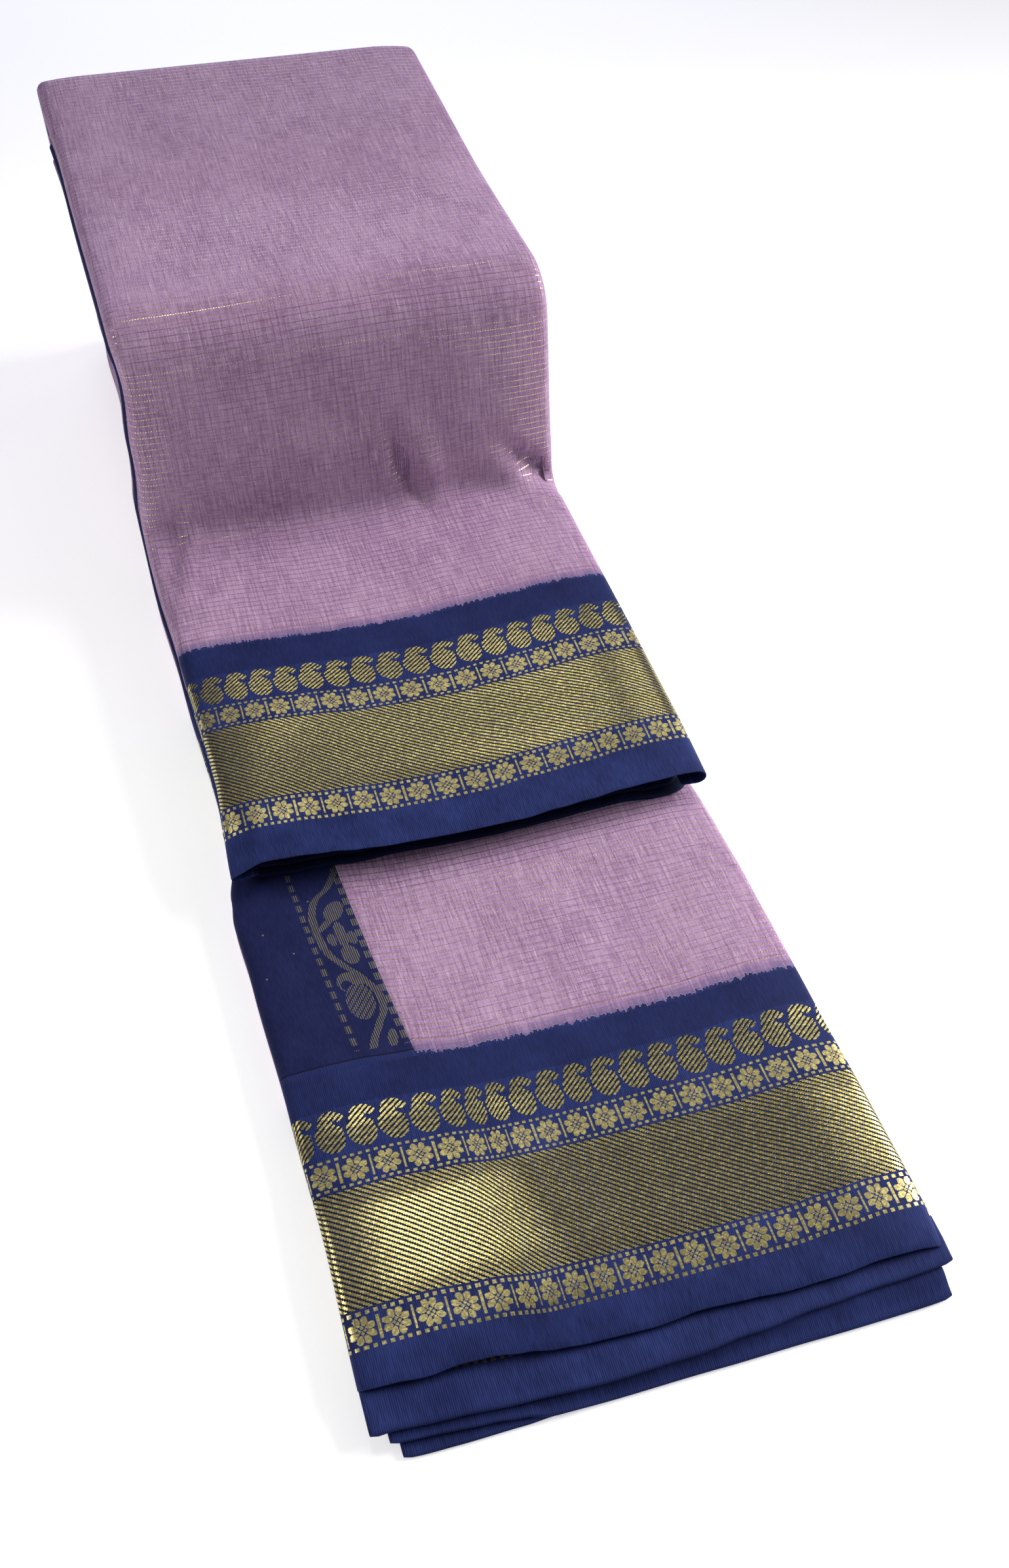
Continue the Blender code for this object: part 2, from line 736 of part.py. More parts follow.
def pile_ring(z, inset, shift, shift_back):
    """Outline of the pile at one height, with rounded corners at its far end."""
    half = PILE_HALF_WIDTH - inset
    back = PILE_BACK_Y - inset + shift_back
    front = PILE_FRONT_Y + max(0.0, z - PILE_SLOPE_Z)
    ring = [(-half + shift, front, z), (0.0, front, z), (half + shift, front, z)]
    for y in (0.48, 0.55):
        ring.append((half + shift, y, z))
    for degrees in (0.0, 30.0, 60.0, 90.0):
        angle = math.radians(degrees)
        ring.append((
            half + shift - PILE_CORNER + PILE_CORNER * math.cos(angle),
            back - PILE_CORNER + PILE_CORNER * math.sin(angle),
            z,
        ))
    ring.append((0.0, back + 0.0012, z))
    for degrees in (90.0, 120.0, 150.0, 180.0):
        angle = math.radians(degrees)
        ring.append((
            -half + shift + PILE_CORNER + PILE_CORNER * math.cos(angle),
            back - PILE_CORNER + PILE_CORNER * math.sin(angle),
            z,
        ))
    for y in (0.55, 0.48):
        ring.append((-half + shift, y, z))
    return ring


def joined_layers(bodies):
    """Union of overlapping closed bodies into one solid."""
    base = None
    for index, bm in enumerate(bodies):
        bmesh.ops.recalc_face_normals(bm, faces=bm.faces)
        mesh = bpy.data.meshes.new("layers_%d" % index)
        bm.to_mesh(mesh)
        bm.free()
        body = bpy.data.objects.new("layers_%d" % index, mesh)
        bpy.context.scene.collection.objects.link(body)
        if base is None:
            base = body
            continue
        union = base.modifiers.new("union_%d" % index, "BOOLEAN")
        union.operation = "UNION"
        union.solver = "EXACT"
        union.object = body
    bpy.context.view_layer.update()
    whole = bpy.data.meshes.new_from_object(base.evaluated_get(bpy.context.evaluated_depsgraph_get()))
    for body in [item for item in bpy.context.scene.objects if item.name.startswith("layers_")]:
        bpy.data.objects.remove(body)
    bm = bmesh.new()
    bm.from_mesh(whole)
    bpy.data.meshes.remove(whole)
    return bm


def near_ply(name, bottom, back_top, edge_top, left_y, right_y, left_x, right_x, wave_size):
    """A folded ply whose navy edge steps out at the near end, its corners a little rounded."""
    steps = (0.0, 0.35, 0.65, 0.88, 1.0)
    outer_rows = []
    inner_rows = []
    for share in steps:
        outer = []
        inner = []
        for index in range(COLUMNS):
            across = index / (COLUMNS - 1)
            x = left_x + (right_x - left_x) * across
            wave = wave_size * math.sin(9.0 * across + 40.0 * bottom)
            rounding = NEAR_ROUNDING * (2.0 * across - 1.0) ** 8
            edge_y = left_y + (right_y - left_y) * across + (wave + rounding) * share
            y = NEAR_BACK_Y + (edge_y - NEAR_BACK_Y) * share
            top = back_top + (edge_top - back_top) * share
            outer.append((x, y, top))
            inner.append((x, y, bottom))
        outer_rows.append(outer)
        inner_rows.append(inner)
    bm = bmesh.new()
    closed_sheet(bm, outer_rows, inner_rows)
    return new_piece(name, bm)


def mouth_ply(name, bottom, top, left_y, right_y, left_x, right_x):
    """A thin ply set back inside the open end of the upper tier."""
    back = TIER_BACK_Y - SEAM
    outer_rows = []
    inner_rows = []
    for share in (0.0, 0.5, 0.85, 1.0):
        outer = []
        inner = []
        for index in range(COLUMNS):
            across = index / (COLUMNS - 1)
            x = left_x + (right_x - left_x) * across
            wave = MOUTH_WAVE * math.sin(11.0 * across + 900.0 * bottom) * share
            y = back + (left_y + (right_y - left_y) * across + wave - back) * share
            outer.append((x, y, top))
            inner.append((x, y, bottom))
        outer_rows.append(outer)
        inner_rows.append(inner)
    bm = bmesh.new()
    closed_sheet(bm, outer_rows, inner_rows)
    return new_piece(name, bm)


def split_stations(stations, length):
    """Stations before and after a seam, each half keeping its side of the gap."""
    before = [station for station in stations if station.length <= length + 1e-6]
    after = [station for station in stations if station.length >= length - 1e-6]
    return before, after


def shifted(stations, first_shift, last_shift):
    """Move the first and last station along the line by small amounts."""
    moved = list(stations)
    for index, shift in ((0, first_shift), (-1, last_shift)):
        old = moved[index]
        moved[index] = Station(
            old.length + shift,
            old.y + old.out_z * shift,
            old.z - old.out_y * shift,
            old.out_y,
            old.out_z,
        )
    return moved


def length_at(stations, y):
    """Length along a line where it first reaches y."""
    for low, high in zip(stations, stations[1:]):
        if low.y <= y <= high.y:
            return low.length + (high.length - low.length) * (y - low.y) / (high.y - low.y)
    return stations[-1].length


def build():
    for item in list(bpy.data.objects):
        bpy.data.objects.remove(item)

    plain = line_stations(UPPER_LINE)
    strip_start = length_at(plain, TIER_BACK_Y + 0.0004)
    strip_end = length_at(plain, STRIP_END_Y)
    upper = line_stations(UPPER_LINE, stops=(strip_start, BORDER_LENGTH, strip_end))
    border, body = split_stations(upper, BORDER_LENGTH)
    sheet_piece("upper_border", shifted(border, 0.0, -SEAM / 2.0), upper_section)
    sheet_piece("upper_body", shifted(body, SEAM / 2.0, 0.0), upper_section)

    slab_start = NEAR_BACK_Y + SEAM
    lower = line_stations(LOWER_LINE, stops=(slab_start + 0.0004, LOWER_BORDER_LENGTH, WIDEST_LEFT))
    low_border, low_body = split_stations(lower, LOWER_BORDER_LENGTH)
    low_border = shifted(low_border, 0.0, -SEAM / 2.0)
    low_body = shifted(low_body, SEAM / 2.0, 0.0)
    sheet_piece("lower_border", low_border, lower_section)
    sheet_piece("lower_pallu", low_body, pallu_section)
    sheet_piece("lower_body", low_body, ground_section)

    strip = [station for station in upper if strip_start - 1e-6 <= station.length <= strip_end + 1e-6]
    top = [station for station in upper if station.out_z > 0.9]
    core = [station for station in top if CORE_START_Y < station.y < FAR_Y - FAR_RADIUS]
    sheet_piece("pallu_edge", strip, edge_fold_section)
    for row in NEAR_PLIES:
        near_ply(*row)
    for row in MOUTH_PLIES:
        mouth_ply(*row)

    covered = [station for station in low_border if station.y >= slab_start]
    bodies = [strip_body(strip), core_body(core), slab_body(covered, low_body), pile_body()]
    new_piece("hidden_layers", joined_layers(bodies))


build()
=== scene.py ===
# Looks of a folded sari: its woven cloth, its folds and the light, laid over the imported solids.
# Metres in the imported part's frame: x across the strip, y away from its open ends, z up.
import math
from functools import partialmethod

import bpy
import numpy as np
from mathutils import Matrix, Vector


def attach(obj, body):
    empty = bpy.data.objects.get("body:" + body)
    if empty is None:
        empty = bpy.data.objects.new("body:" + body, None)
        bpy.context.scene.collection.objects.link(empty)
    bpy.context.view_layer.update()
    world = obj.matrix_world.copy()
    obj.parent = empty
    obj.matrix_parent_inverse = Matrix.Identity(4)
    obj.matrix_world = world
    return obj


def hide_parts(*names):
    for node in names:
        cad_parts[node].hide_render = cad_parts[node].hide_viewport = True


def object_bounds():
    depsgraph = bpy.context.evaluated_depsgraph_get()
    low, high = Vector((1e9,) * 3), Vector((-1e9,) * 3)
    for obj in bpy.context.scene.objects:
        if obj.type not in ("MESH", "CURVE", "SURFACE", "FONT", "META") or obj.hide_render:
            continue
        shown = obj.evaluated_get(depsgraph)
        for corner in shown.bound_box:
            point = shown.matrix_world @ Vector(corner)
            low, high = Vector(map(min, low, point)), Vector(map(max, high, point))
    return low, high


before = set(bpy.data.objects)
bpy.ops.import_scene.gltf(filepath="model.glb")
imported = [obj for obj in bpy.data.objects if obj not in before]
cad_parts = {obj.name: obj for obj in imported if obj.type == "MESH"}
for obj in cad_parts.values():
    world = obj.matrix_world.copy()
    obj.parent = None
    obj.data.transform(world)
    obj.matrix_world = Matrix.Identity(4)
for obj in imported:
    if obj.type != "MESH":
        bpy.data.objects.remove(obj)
cad_low, cad_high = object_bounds()

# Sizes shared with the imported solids
HALF_WIDTH = cad_high.x    # half of the strip's widest place
SKEW = -0.055              # the cross lines run nearer on the right by this share of x
MIDDLE_Y = 0.31617         # moved to the origin
SEAM = 0.0003              # gap between neighbouring pieces
NAVY_LINE = 0.0012         # how far the navy edge fold passes the upper tier on the left
LOWER_TOP = 0.0140
TIER_BACK_Y = 0.2360       # the visible lower plies stop here, under the upper tier
STRIP_START_Y = 0.2364
STRIP_END_Y = 0.5975
CORE_START_Y = 0.5835
NEAR_BACK_Y = 0.0215
FAR_Y = 0.6445
FAR_LIFT = 0.0020          # the far end is raised by this at mid-width
FAR_TWIST = 0.0130         # and by this much more for each metre to the left
FAR_TWIST_Y = (0.460, 0.640)
FAR_TOP = 0.1482
FAR_BOTTOM = 0.1206
FAR_RADIUS = 0.0132
FAR_INSET = 0.0030         # the layers in the far fold end this far inside the widest place
FAR_SQUEEZE = 0.35         # their ends are smaller by this share
FAR_SQUEEZE_FROM = 0.96    # from this share of half their width
FAR_CLOTH_START = 0.5      # where they lie in the cloth, as they have no edge to measure from
FLOOR_MAX_Z = 0.060        # the strip's layers reach the floor where its line is lower than this
FLOOR_MIN_OUT_Z = 0.70     # and no steeper than this
RAISED_UPPER_SHARE = 0.54  # share of the raised strip's depth that belongs to the upper tier
PALLU_RIGHT = -0.0500      # where the end piece meets the lilac ground at the border
PALLU_LEAN = -0.065
PALLU_CURVE = 0.0024       # the meeting line bends right by this much towards the border
PALLU_CURVE_END = 0.195
PILE_FRONT_Y = 0.4240
PILE_BACK_Y = 0.6330
PILE_TOP = 0.1203
PILE_SLOPE_Z = 0.1000
PILE_HALF_WIDTH = 0.0925
PILE_FOLDS = 9
PILE_CORNER = 0.0120
PILE_SHIFT = 0.0016        # how far its folds stand off one another, across and at the back
PILE_BACK_SHIFT = 0.0022
PILE_CLOTH_START = 0.2     # where its outline starts in the cloth
PILE_NOSE = 0.0034         # how far each of its folds stands in at top and bottom

# Cloth
PLY = 0.0006               # thickness of one cover ply
UPPER_FOLD = 0.0044        # radius of the upper cover's folded side
LOWER_FOLD = 0.0030        # radius of the lower cover's folded side
FOLD_RETURN = 0.0060       # how far a cover turns back under its folded side
EDGE_FOLD = 0.0022         # radius of the navy edge fold
EDGE_FOLD_REACH = 0.0085
EDGE_FOLD_FROM_GROUND = 0.060
UNDER_PLY = 0.0009         # the layers start this far under a cover's face
FOLD_NOSE = 0.0032         # how far a fold at the layers' side stands in at top and bottom
FOLD_INSIDE = 0.0010       # the layers stay this far inside a cover's folded side
TUCK = 0.0004              # the first fold of a tier is tucked in by this under the one above
LOW_TUCK = 0.0006
TIER_CREASE = 0.0050       # depth of the crease between the two tiers at the strip's sides
RIGHT_LOW_INSET = 0.0008   # how far the lower tier's folds stand in on the right of the strip
RIB = 0.70                 # pitch of the ribs across the cloth, in millimetres
PICK = 0.50                # pitch of the crossing threads along it, in millimetres

# Where the border ends and the ground starts, by length from the open edge at mid-width
UPPER_GROUND = 0.1170
LOWER_GROUND = 0.1104
UPPER_SHIFT = -0.0019      # from length along the tier to place in the border's design
LOWER_SHIFT = 0.0025

# Sampling
ROW_STEP = 0.0025
COLUMN_STEP = 0.0022
ARC_STEP = math.radians(4.0)
SLOPE_REACH = 0.0012
TURN_STEPS = 10
LAYER_STEP = 0.0040
LAYER_COLUMNS = 24
EDGE_FOLD_STEP = 0.0030
PILE_STEPS = 12            # rings in each fold of the pile
NEAR_ROWS = 24
MOUTH_ROWS = 14
PLY_COLUMNS = 110
PITCH_SAMPLES = 400

# Both lines start this far before length nought, for the places where their edges swing out
LINE_LEAD = 0.0020

# Upper tier's top line seen from the side: y, z and the radius at each corner
UPPER_LINE = (
    # y, z, radius
    (0.1974, 0.0283, 0.0),
    (0.2320, 0.0318, 0.10),
    (0.3000, 0.0342, 0.30),
    (0.3960, 0.0362, 0.009),
    (0.4085, 0.1378, 0.0256),
    (0.5200, 0.1384, 0.60),
    (FAR_Y, FAR_TOP, FAR_RADIUS),
    (FAR_Y, FAR_BOTTOM, FAR_RADIUS),
    (0.6020, FAR_BOTTOM, 0.0),
)

# Lower tier's top line, with its edge sunk a little towards the plies under it
LOWER_LINE = (
    # y, z, radius
    (-0.0020, 0.0116, 0.0),
    (0.0060, 0.0143, 0.02),
    (0.0140, 0.0158, 0.03),
    (0.0310, 0.0165, 0.08),
    (0.0600, 0.0165, 0.05),
    (0.0900, 0.0142, 0.05),
    (TIER_BACK_Y, LOWER_TOP, 0.0),
)

# How far the folded sides stand in from the widest place, by length along the tier's line
UPPER_SIDES = (
    # length, left inset, right inset
    (0.000, 0.0031, 0.0002),
    (0.051, 0.0062, 0.0000),
    (0.128, 0.0036, 0.0000),
    (0.190, 0.0014, 0.0000),
    (0.235, 0.0052, 0.0006),
    (0.268, 0.0080, 0.0006),
    (0.300, 0.0065, 0.0006),
    (0.440, 0.0048, 0.0002),
    (0.500, 0.0026, 0.0002),
)
LOWER_SIDES = (
    # length, left inset, right inset
    (0.000, 0.0034, 0.0004),
    (0.056, 0.0042, 0.0006),
    (0.106, 0.0030, 0.0002),
    (0.163, 0.0012, 0.0006),
    (0.190, 0.0000, 0.0014),
    (0.202, 0.0012, 0.0020),
    (0.216, 0.0038, 0.0030),
    (0.236, 0.0042, 0.0036),
)

# Half the height of the folded side of the upper tier, by length along its line
UPPER_HALF = (
    # length, half height
    (0.000, 0.0044),
    (0.034, 0.0080),
    (0.100, 0.0092),
    (0.198, 0.0098),
    (0.222, 0.0062),
    (0.290, 0.0058),
    (0.350, 0.0062),
    (0.430, 0.0060),
    (0.480, 0.0046),
)

# Depth of the hidden layers under the upper tier's line, where they do not reach the floor
STRIP_DEPTH = (
    # length, depth
    (0.196, 0.0520),
    (0.199, 0.0420),
    (0.204, 0.0300),
    (0.216, 0.0240),
    (0.290, 0.0200),
    (0.350, 0.0250),
    (0.600, 0.0250),
)

# Soft folds pressed into the upper tier: place, reach across and along, turn and height
UPPER_FOLDS = (
    # x, length, across, along, turn in degrees, height
    (0.0265, 0.2120, 0.0042, 0.0180, -15.0, -0.0046),
    (0.0370, 0.2110, 0.0070, 0.0160, -15.0, 0.0026),
    (0.0900, 0.2020, 0.0044, 0.0170, -50.0, -0.0060),
    (0.0790, 0.1960, 0.0080, 0.0160, -50.0, 0.0024),
    (-0.086, 0.190, 0.020, 0.0050, -76.0, -0.0022),
    (-0.082, 0.179, 0.024, 0.0045, -78.0, 0.0012),
    (-0.010, 0.250, 0.050, 0.022, 0.0, -0.0026),
    (0.010, 0.196, 0.060, 0.010, 4.0, 0.0012),
    (-0.060, 0.065, 0.022, 0.034, 30.0, 0.0012),
    (0.030, 0.070, 0.040, 0.030, 0.0, -0.0010),
    (0.000, 0.390, 0.070, 0.040, 10.0, -0.0014),
)

# Soft folds pressed into the lower tier
LOWER_FOLDS = (
    # x, length, across, along, turn in degrees, height
    (0.024, 0.050, 0.040, 0.026, 10.0, -0.0012),
    (0.022, 0.172, 0.012, 0.052, 51.0, 0.0012),
    (0.052, 0.146, 0.016, 0.034, 40.0, -0.0013),
)

# The soft folds end over these lengths of each tier, and start over these
UPPER_FADE = (0.395, 0.455)
UPPER_FADE_IN = 0.030
LOWER_FADE = (0.160, 0.190)
LOWER_FADE_IN = 0.020

# Crest where the lower border buckles
BUCKLE_X = -0.026
BUCKLE_LENGTH = 0.046
BUCKLE_LEAN = -0.26
BUCKLE_LEFT_SLOPE = 0.040
BUCKLE_RIGHT_RUN = 0.026
BUCKLE_STEP = 0.0011
BUCKLE_ROUNDING = 0.018
BUCKLE_FADE = (0.075, 0.120)

# How far both tiers sink towards their sides, from this far off the middle
DROOP_START = 0.074
RIGHT_DROOP = 0.0022
LEFT_DROOP = 0.0018

# How far the woven lines of each tier's border sit back from where they cross the middle
BOW = (
    # x, upper tier, lower tier
    (-0.100, 0.0044, 0.0036),
    (-0.085, 0.0042, 0.0037),
    (-0.070, 0.0036, 0.0037),
    (-0.050, 0.0019, 0.0024),
    (-0.030, 0.0003, 0.0000),
    (-0.010, 0.0000, 0.0000),
    (0.010, 0.0003, 0.0002),
    (0.030, 0.0025, 0.0005),
    (0.050, 0.0043, 0.0008),
    (0.070, 0.0065, 0.0022),
    (0.085, 0.0075, 0.0034),
    (0.100, 0.0078, 0.0036),
)
BOW_FADE = (0.130, 0.300)

# How far each tier's open edge swings back from length nought
UPPER_EDGE = (
    # x, swing
    (-0.100, 0.0030),
    (-0.084, 0.0033),
    (-0.071, 0.0028),
    (-0.058, 0.0017),
    (-0.046, 0.0001),
    (-0.033, -0.0010),
    (-0.007, -0.0016),
    (0.020, -0.0013),
    (0.034, 0.0003),
    (0.048, 0.0015),
    (0.062, 0.0031),
    (0.076, 0.0038),
    (0.091, 0.0050),
    (0.100, 0.0050),
)
LOWER_EDGE = (
    # x, swing
    (-0.100, 0.0028),
    (-0.085, 0.0026),
    (-0.075, 0.0019),
    (-0.064, 0.0029),
    (-0.054, 0.0027),
    (-0.044, 0.0014),
    (-0.033, -0.0002),
    (-0.023, -0.0009),
    (-0.002, -0.0013),
    (0.015, 0.0001),
    (0.032, -0.0005),
    (0.043, -0.0012),
    (0.060, -0.0007),
    (0.078, 0.0008),
    (0.090, 0.0008),
    (0.100, 0.0000),
)

# How the upper tier's left corner is pressed flat at its open end
PRESSED = 0.0050
PRESSED_ACROSS = 0.017
PRESSED_ALONG = 0.045

# Pitch of the border's motifs across each tier, drawn together where the cloth buckles
MOTIF = 11.3               # woven pitch, in millimetres
UPPER_PITCH = (
    # x, pitch in millimetres
    (-0.110, 10.0),
    (-0.070, 10.4),
    (-0.040, 10.9),
    (0.005, 12.1),
    (0.045, 11.4),
    (0.110, 11.1),
)
LOWER_PITCH = (
    # x, pitch in millimetres
    (-0.110, 11.4),
    (-0.056, 11.0),
    (-0.046, 10.4),
    (-0.038, 7.3),
    (-0.030, 7.3),
    (-0.022, 9.6),
    (0.000, 10.2),
    (0.025, 10.9),
    (0.110, 11.3),
)
UPPER_MOTIF_START = 4.65   # where the design starts at x = 0, in millimetres
LOWER_MOTIF_START = 2.85

# Navy plies at the near end, and how the edge of each runs from left to right
NEAR_PLIES = (
    # name, bottom, top, left x, right x
    ("ply_b", 0.0064, 0.0096, -0.0955, 0.1000),
    ("ply_c", 0.0033, 0.0061, -0.0900, 0.0962),
    ("ply_d", 0.0000, 0.0030, -0.0871, 0.0963),
)
NEAR_EDGES = {
    # x, y, bottom and top at the edge
    "ply_b": (
        (-0.0955, -0.0101, 0.0060, 0.0088),
        (-0.0886, -0.0094, 0.0060, 0.0090),
        (-0.0700, -0.0101, 0.0060, 0.0090),
        (-0.0480, -0.0113, 0.0062, 0.0090),
        (-0.0200, -0.0120, 0.0062, 0.0090),
        (0.0060, -0.0111, 0.0060, 0.0090),
        (0.0285, -0.0092, 0.0060, 0.0090),
        (0.0520, -0.0070, 0.0060, 0.0090),
        (0.0755, -0.0054, 0.0060, 0.0090),
        (0.1000, -0.0045, 0.0060, 0.0086),
    ),
    "ply_c": (
        (-0.0900, -0.0126, 0.0031, 0.0055),
        (-0.0790, -0.0126, 0.0031, 0.0057),
        (-0.0590, -0.0136, 0.0031, 0.0057),
        (-0.0490, -0.0145, 0.0028, 0.0053),
        (-0.0390, -0.0159, 0.0012, 0.0040),
        (-0.0250, -0.0157, 0.0003, 0.0030),
        (0.0155, -0.0150, 0.0002, 0.0030),
        (0.0490, -0.0144, 0.0002, 0.0030),
        (0.0962, -0.0136, 0.0002, 0.0030),
    ),
    "ply_d": (
        (-0.0871, -0.0167, 0.0000, 0.0024),
        (-0.0705, -0.0164, 0.0000, 0.0026),
        (-0.0490, -0.0160, 0.0000, 0.0026),
        (-0.0400, -0.0155, 0.0000, 0.0024),
        (-0.0280, -0.0080, 0.0000, 0.0024),
        (-0.0100, -0.0050, 0.0000, 0.0026),
        (0.0963, -0.0050, 0.0000, 0.0026),
    ),
}
EDGE_SETTLE = 0.0080       # each ply settles over this much before its edge
NEAR_CORNER = 0.0008       # how far the corners of these plies are rounded back
MOUTH_CORNER = 0.0060      # and those inside the open end

# Plies inside the open end of the upper tier, each edge set back from the lip
MOUTH_PLIES = (
    # name, bottom, top, set back, left x, right x
    ("upper_under", 0.0143, 0.0158, 0.0000, -0.0935, 0.0950),
    ("upper_inner", 0.0161, 0.0176, 0.0034, -0.0905, 0.0920),
    ("upper_inner_fold", 0.0179, 0.0194, 0.0085, -0.0885, 0.0900),
)
LIP = (
    # x, y
    (-0.0950, 0.2072),
    (-0.0830, 0.2065),
    (-0.0720, 0.2056),
    (-0.0590, 0.2056),
    (-0.0460, 0.2045),
    (-0.0320, 0.2051),
    (-0.0060, 0.2043),
    (0.0080, 0.2041),
    (0.0220, 0.2046),
    (0.0360, 0.2055),
    (0.0500, 0.2066),
    (0.0650, 0.2074),
    (0.0785, 0.2060),
    (0.0950, 0.2072),
)

# Camera, from the photograph's vanishing lines
CAMERA_PLACE = (-0.09655, -0.46381, 0.47091)
CAMERA_YAW = math.radians(-17.433)
CAMERA_PITCH = math.radians(40.750)
CAMERA_ROLL = math.radians(-0.4165)
IMAGE_HEIGHT = 2392.0
FOCAL_PIXELS = 2200.0
SENSOR = 36.0

# Colours as they look in daylight: red, green and blue out of 255
COLOURS = {
    "lilac": (190, 157, 190),
    "lilac_dark": (146, 111, 148),
    "lilac_light": (224, 198, 219),
    "mauve": (116, 98, 136),
    "sheen": (150, 156, 255),
    "zari_dark": (112, 76, 96),
    # deep navy: the end piece's dark pick, the darker ground in the gold band and paisleys, and painted
    # shade inside the open end
    "navy_deep": (12, 14, 30),
    "navy_dark": (20, 26, 66),
    "navy_light": (48, 62, 122),
    "end_piece": (34, 39, 84),
    "gold": (240, 226, 150),
    "gold_dark": (172, 160, 104),
    "floor": (246, 246, 246),
}


def linear(name):
    """A named colour in the linear values that shaders use."""
    return tuple(((part / 255.0 + 0.055) / 1.055) ** 2.4 for part in COLOURS[name]) + (1.0,)


def smooth_step(share):
    return share * share * (3.0 - 2.0 * share)


def eased(value, low, high):
    return smooth_step(np.clip((value - low) / (high - low), 0.0, 1.0))


def read_table(table, place, column):
    """Values of a column at places, eased between the table's rows."""
    rows = np.array(table)
    index = np.clip(np.searchsorted(rows[:, 0], place) - 1, 0, len(rows) - 2)
    low, high = rows[index], rows[index + 1]
    share = np.clip((place - low[..., 0]) / (high[..., 0] - low[..., 0]), 0.0, 1.0)
    return low[..., column] + (high[..., column] - low[..., column]) * smooth_step(share)


def run_along(across, down):
    """Distance along each row of points, from its first column."""
    steps = np.hypot(np.diff(across, axis=1), np.diff(down, axis=1))
    return np.concatenate([np.zeros((len(across), 1)), np.cumsum(steps, axis=1)], axis=1)


def run_of(points):
    """Distance along one row of points."""
    return np.concatenate([[0.0], np.cumsum(np.linalg.norm(np.diff(points, axis=0), axis=1))])


def rounded_corner(before, corner, after):
    """Points of the arc that rounds one corner of a line."""
    place = np.array(corner[:2])
    back = np.array(before[:2]) - place
    ahead = np.array(after[:2]) - place
    back /= np.linalg.norm(back)
    ahead /= np.linalg.norm(ahead)
    turn = math.pi - math.acos(float(np.clip(back @ ahead, -1.0, 1.0)))
    middle = (back + ahead) / np.linalg.norm(back + ahead)
    centre = place + middle * corner[2] / math.cos(turn / 2.0)
    start = place + back * corner[2] * math.tan(turn / 2.0) - centre
    finish = place + ahead * corner[2] * math.tan(turn / 2.0) - centre
    first = math.atan2(start[1], start[0])
    sweep = (math.atan2(finish[1], finish[0]) - first + math.pi) % (2.0 * math.pi) - math.pi
    steps = max(4, math.ceil(abs(sweep) / ARC_STEP))
    angles = [first + sweep * step / steps for step in range(steps + 1)]
    return [(centre[0] + corner[2] * math.cos(a), centre[1] + corner[2] * math.sin(a)) for a in angles]


class TierLine:
    """A tier's top line seen from the side, read at any length from its open edge."""

    def __init__(self, corners):
        points = [corners[0][:2]]
        for before, corner, after in zip(corners, corners[1:], corners[2:]):
            points += rounded_corner(before, corner, after)
        points.append(corners[-1][:2])
        self.points = np.array(points)
        self.lengths = run_of(self.points) - LINE_LEAD
        self.length = self.lengths[-1]

    def place(self, length):
        """y and z at each length."""
        y = np.interp(length, self.lengths, self.points[:, 0])
        z = np.interp(length, self.lengths, self.points[:, 1])
        return y, z

    def out(self, length):
        """y and z of the direction out of the cloth at each length."""
        behind = self.place(length - SLOPE_REACH)
        beyond = self.place(length + SLOPE_REACH)
        along_y = beyond[0] - behind[0]
        along_z = beyond[1] - behind[1]
        size = np.hypot(along_y, along_z)
        return -along_z / size, along_y / size

    def length_at(self, y):
        """Length where the line first reaches y."""
        index = int(np.argmax(self.points[:, 0] >= y))
        low, high = self.points[index - 1, 0], self.points[index, 0]
        share = (y - low) / (high - low)
        return self.lengths[index - 1] + share * (self.lengths[index] - self.lengths[index - 1])


UPPER = TierLine(UPPER_LINE)
LOWER = TierLine(LOWER_LINE)
STRIP_START = UPPER.length_at(STRIP_START_Y)
STRIP_END = UPPER.length_at(STRIP_END_Y)


def fold_height(folds, x, length):
    """Height of the soft folds over the even cloth."""
    height = np.zeros(np.broadcast(x, length).shape)
    for fold_x, fold_length, across, along, turn, rise in folds:
        angle = math.radians(turn)
        side = x - fold_x
        ahead = length - fold_length
        over = (side * math.cos(angle) - ahead * math.sin(angle)) / across
        down = (side * math.sin(angle) + ahead * math.cos(angle)) / along
        height = height + rise * np.exp(-over * over - down * down)
    return height


def upper_height(x, length):
    shown = (1.0 - eased(length, *UPPER_FADE)) * eased(length, 0.0, UPPER_FADE_IN)
    across = 1.0 - eased(x + HALF_WIDTH, 0.004, PRESSED_ACROSS)
    pressed = PRESSED * across * (1.0 - eased(length, 0.0, PRESSED_ALONG))
    return fold_height(UPPER_FOLDS, x, length) * shown - pressed


def lower_height(x, length):
    shown = (1.0 - eased(length, *LOWER_FADE)) * eased(length, 0.0, LOWER_FADE_IN)
    return fold_height(LOWER_FOLDS, x, length) * shown + buckle(x, length)


def side_droop(x):
    """How far the cloth sinks towards its folded sides."""
    right = np.maximum(0.0, x - DROOP_START) / (HALF_WIDTH - DROOP_START)
    left = np.maximum(0.0, -x - DROOP_START) / (HALF_WIDTH - DROOP_START)
    return RIGHT_DROOP * right * right + LEFT_DROOP * left * left


def buckle(x, length):
    """Crest across the lower border at the left, falling gently left and quickly right."""
    crest = BUCKLE_X + BUCKLE_LEAN * (length - BUCKLE_LENGTH)
    over = crest - x
    left = (np.hypot(over, BUCKLE_ROUNDING) + over) / 2.0 * BUCKLE_LEFT_SLOPE
    right = BUCKLE_STEP * eased(x - crest, 0.0, BUCKLE_RIGHT_RUN)
    shown = (1.0 - eased(length, *BUCKLE_FADE)) * eased(length, 0.0, LOWER_FADE_IN)
    return (BUCKLE_STEP - left - right) * shown


def sides_from(insets, length):
    return read_table(insets, length, 1) - HALF_WIDTH, HALF_WIDTH - read_table(insets, length, 2)


def upper_sides(length):
    return sides_from(UPPER_SIDES, length)


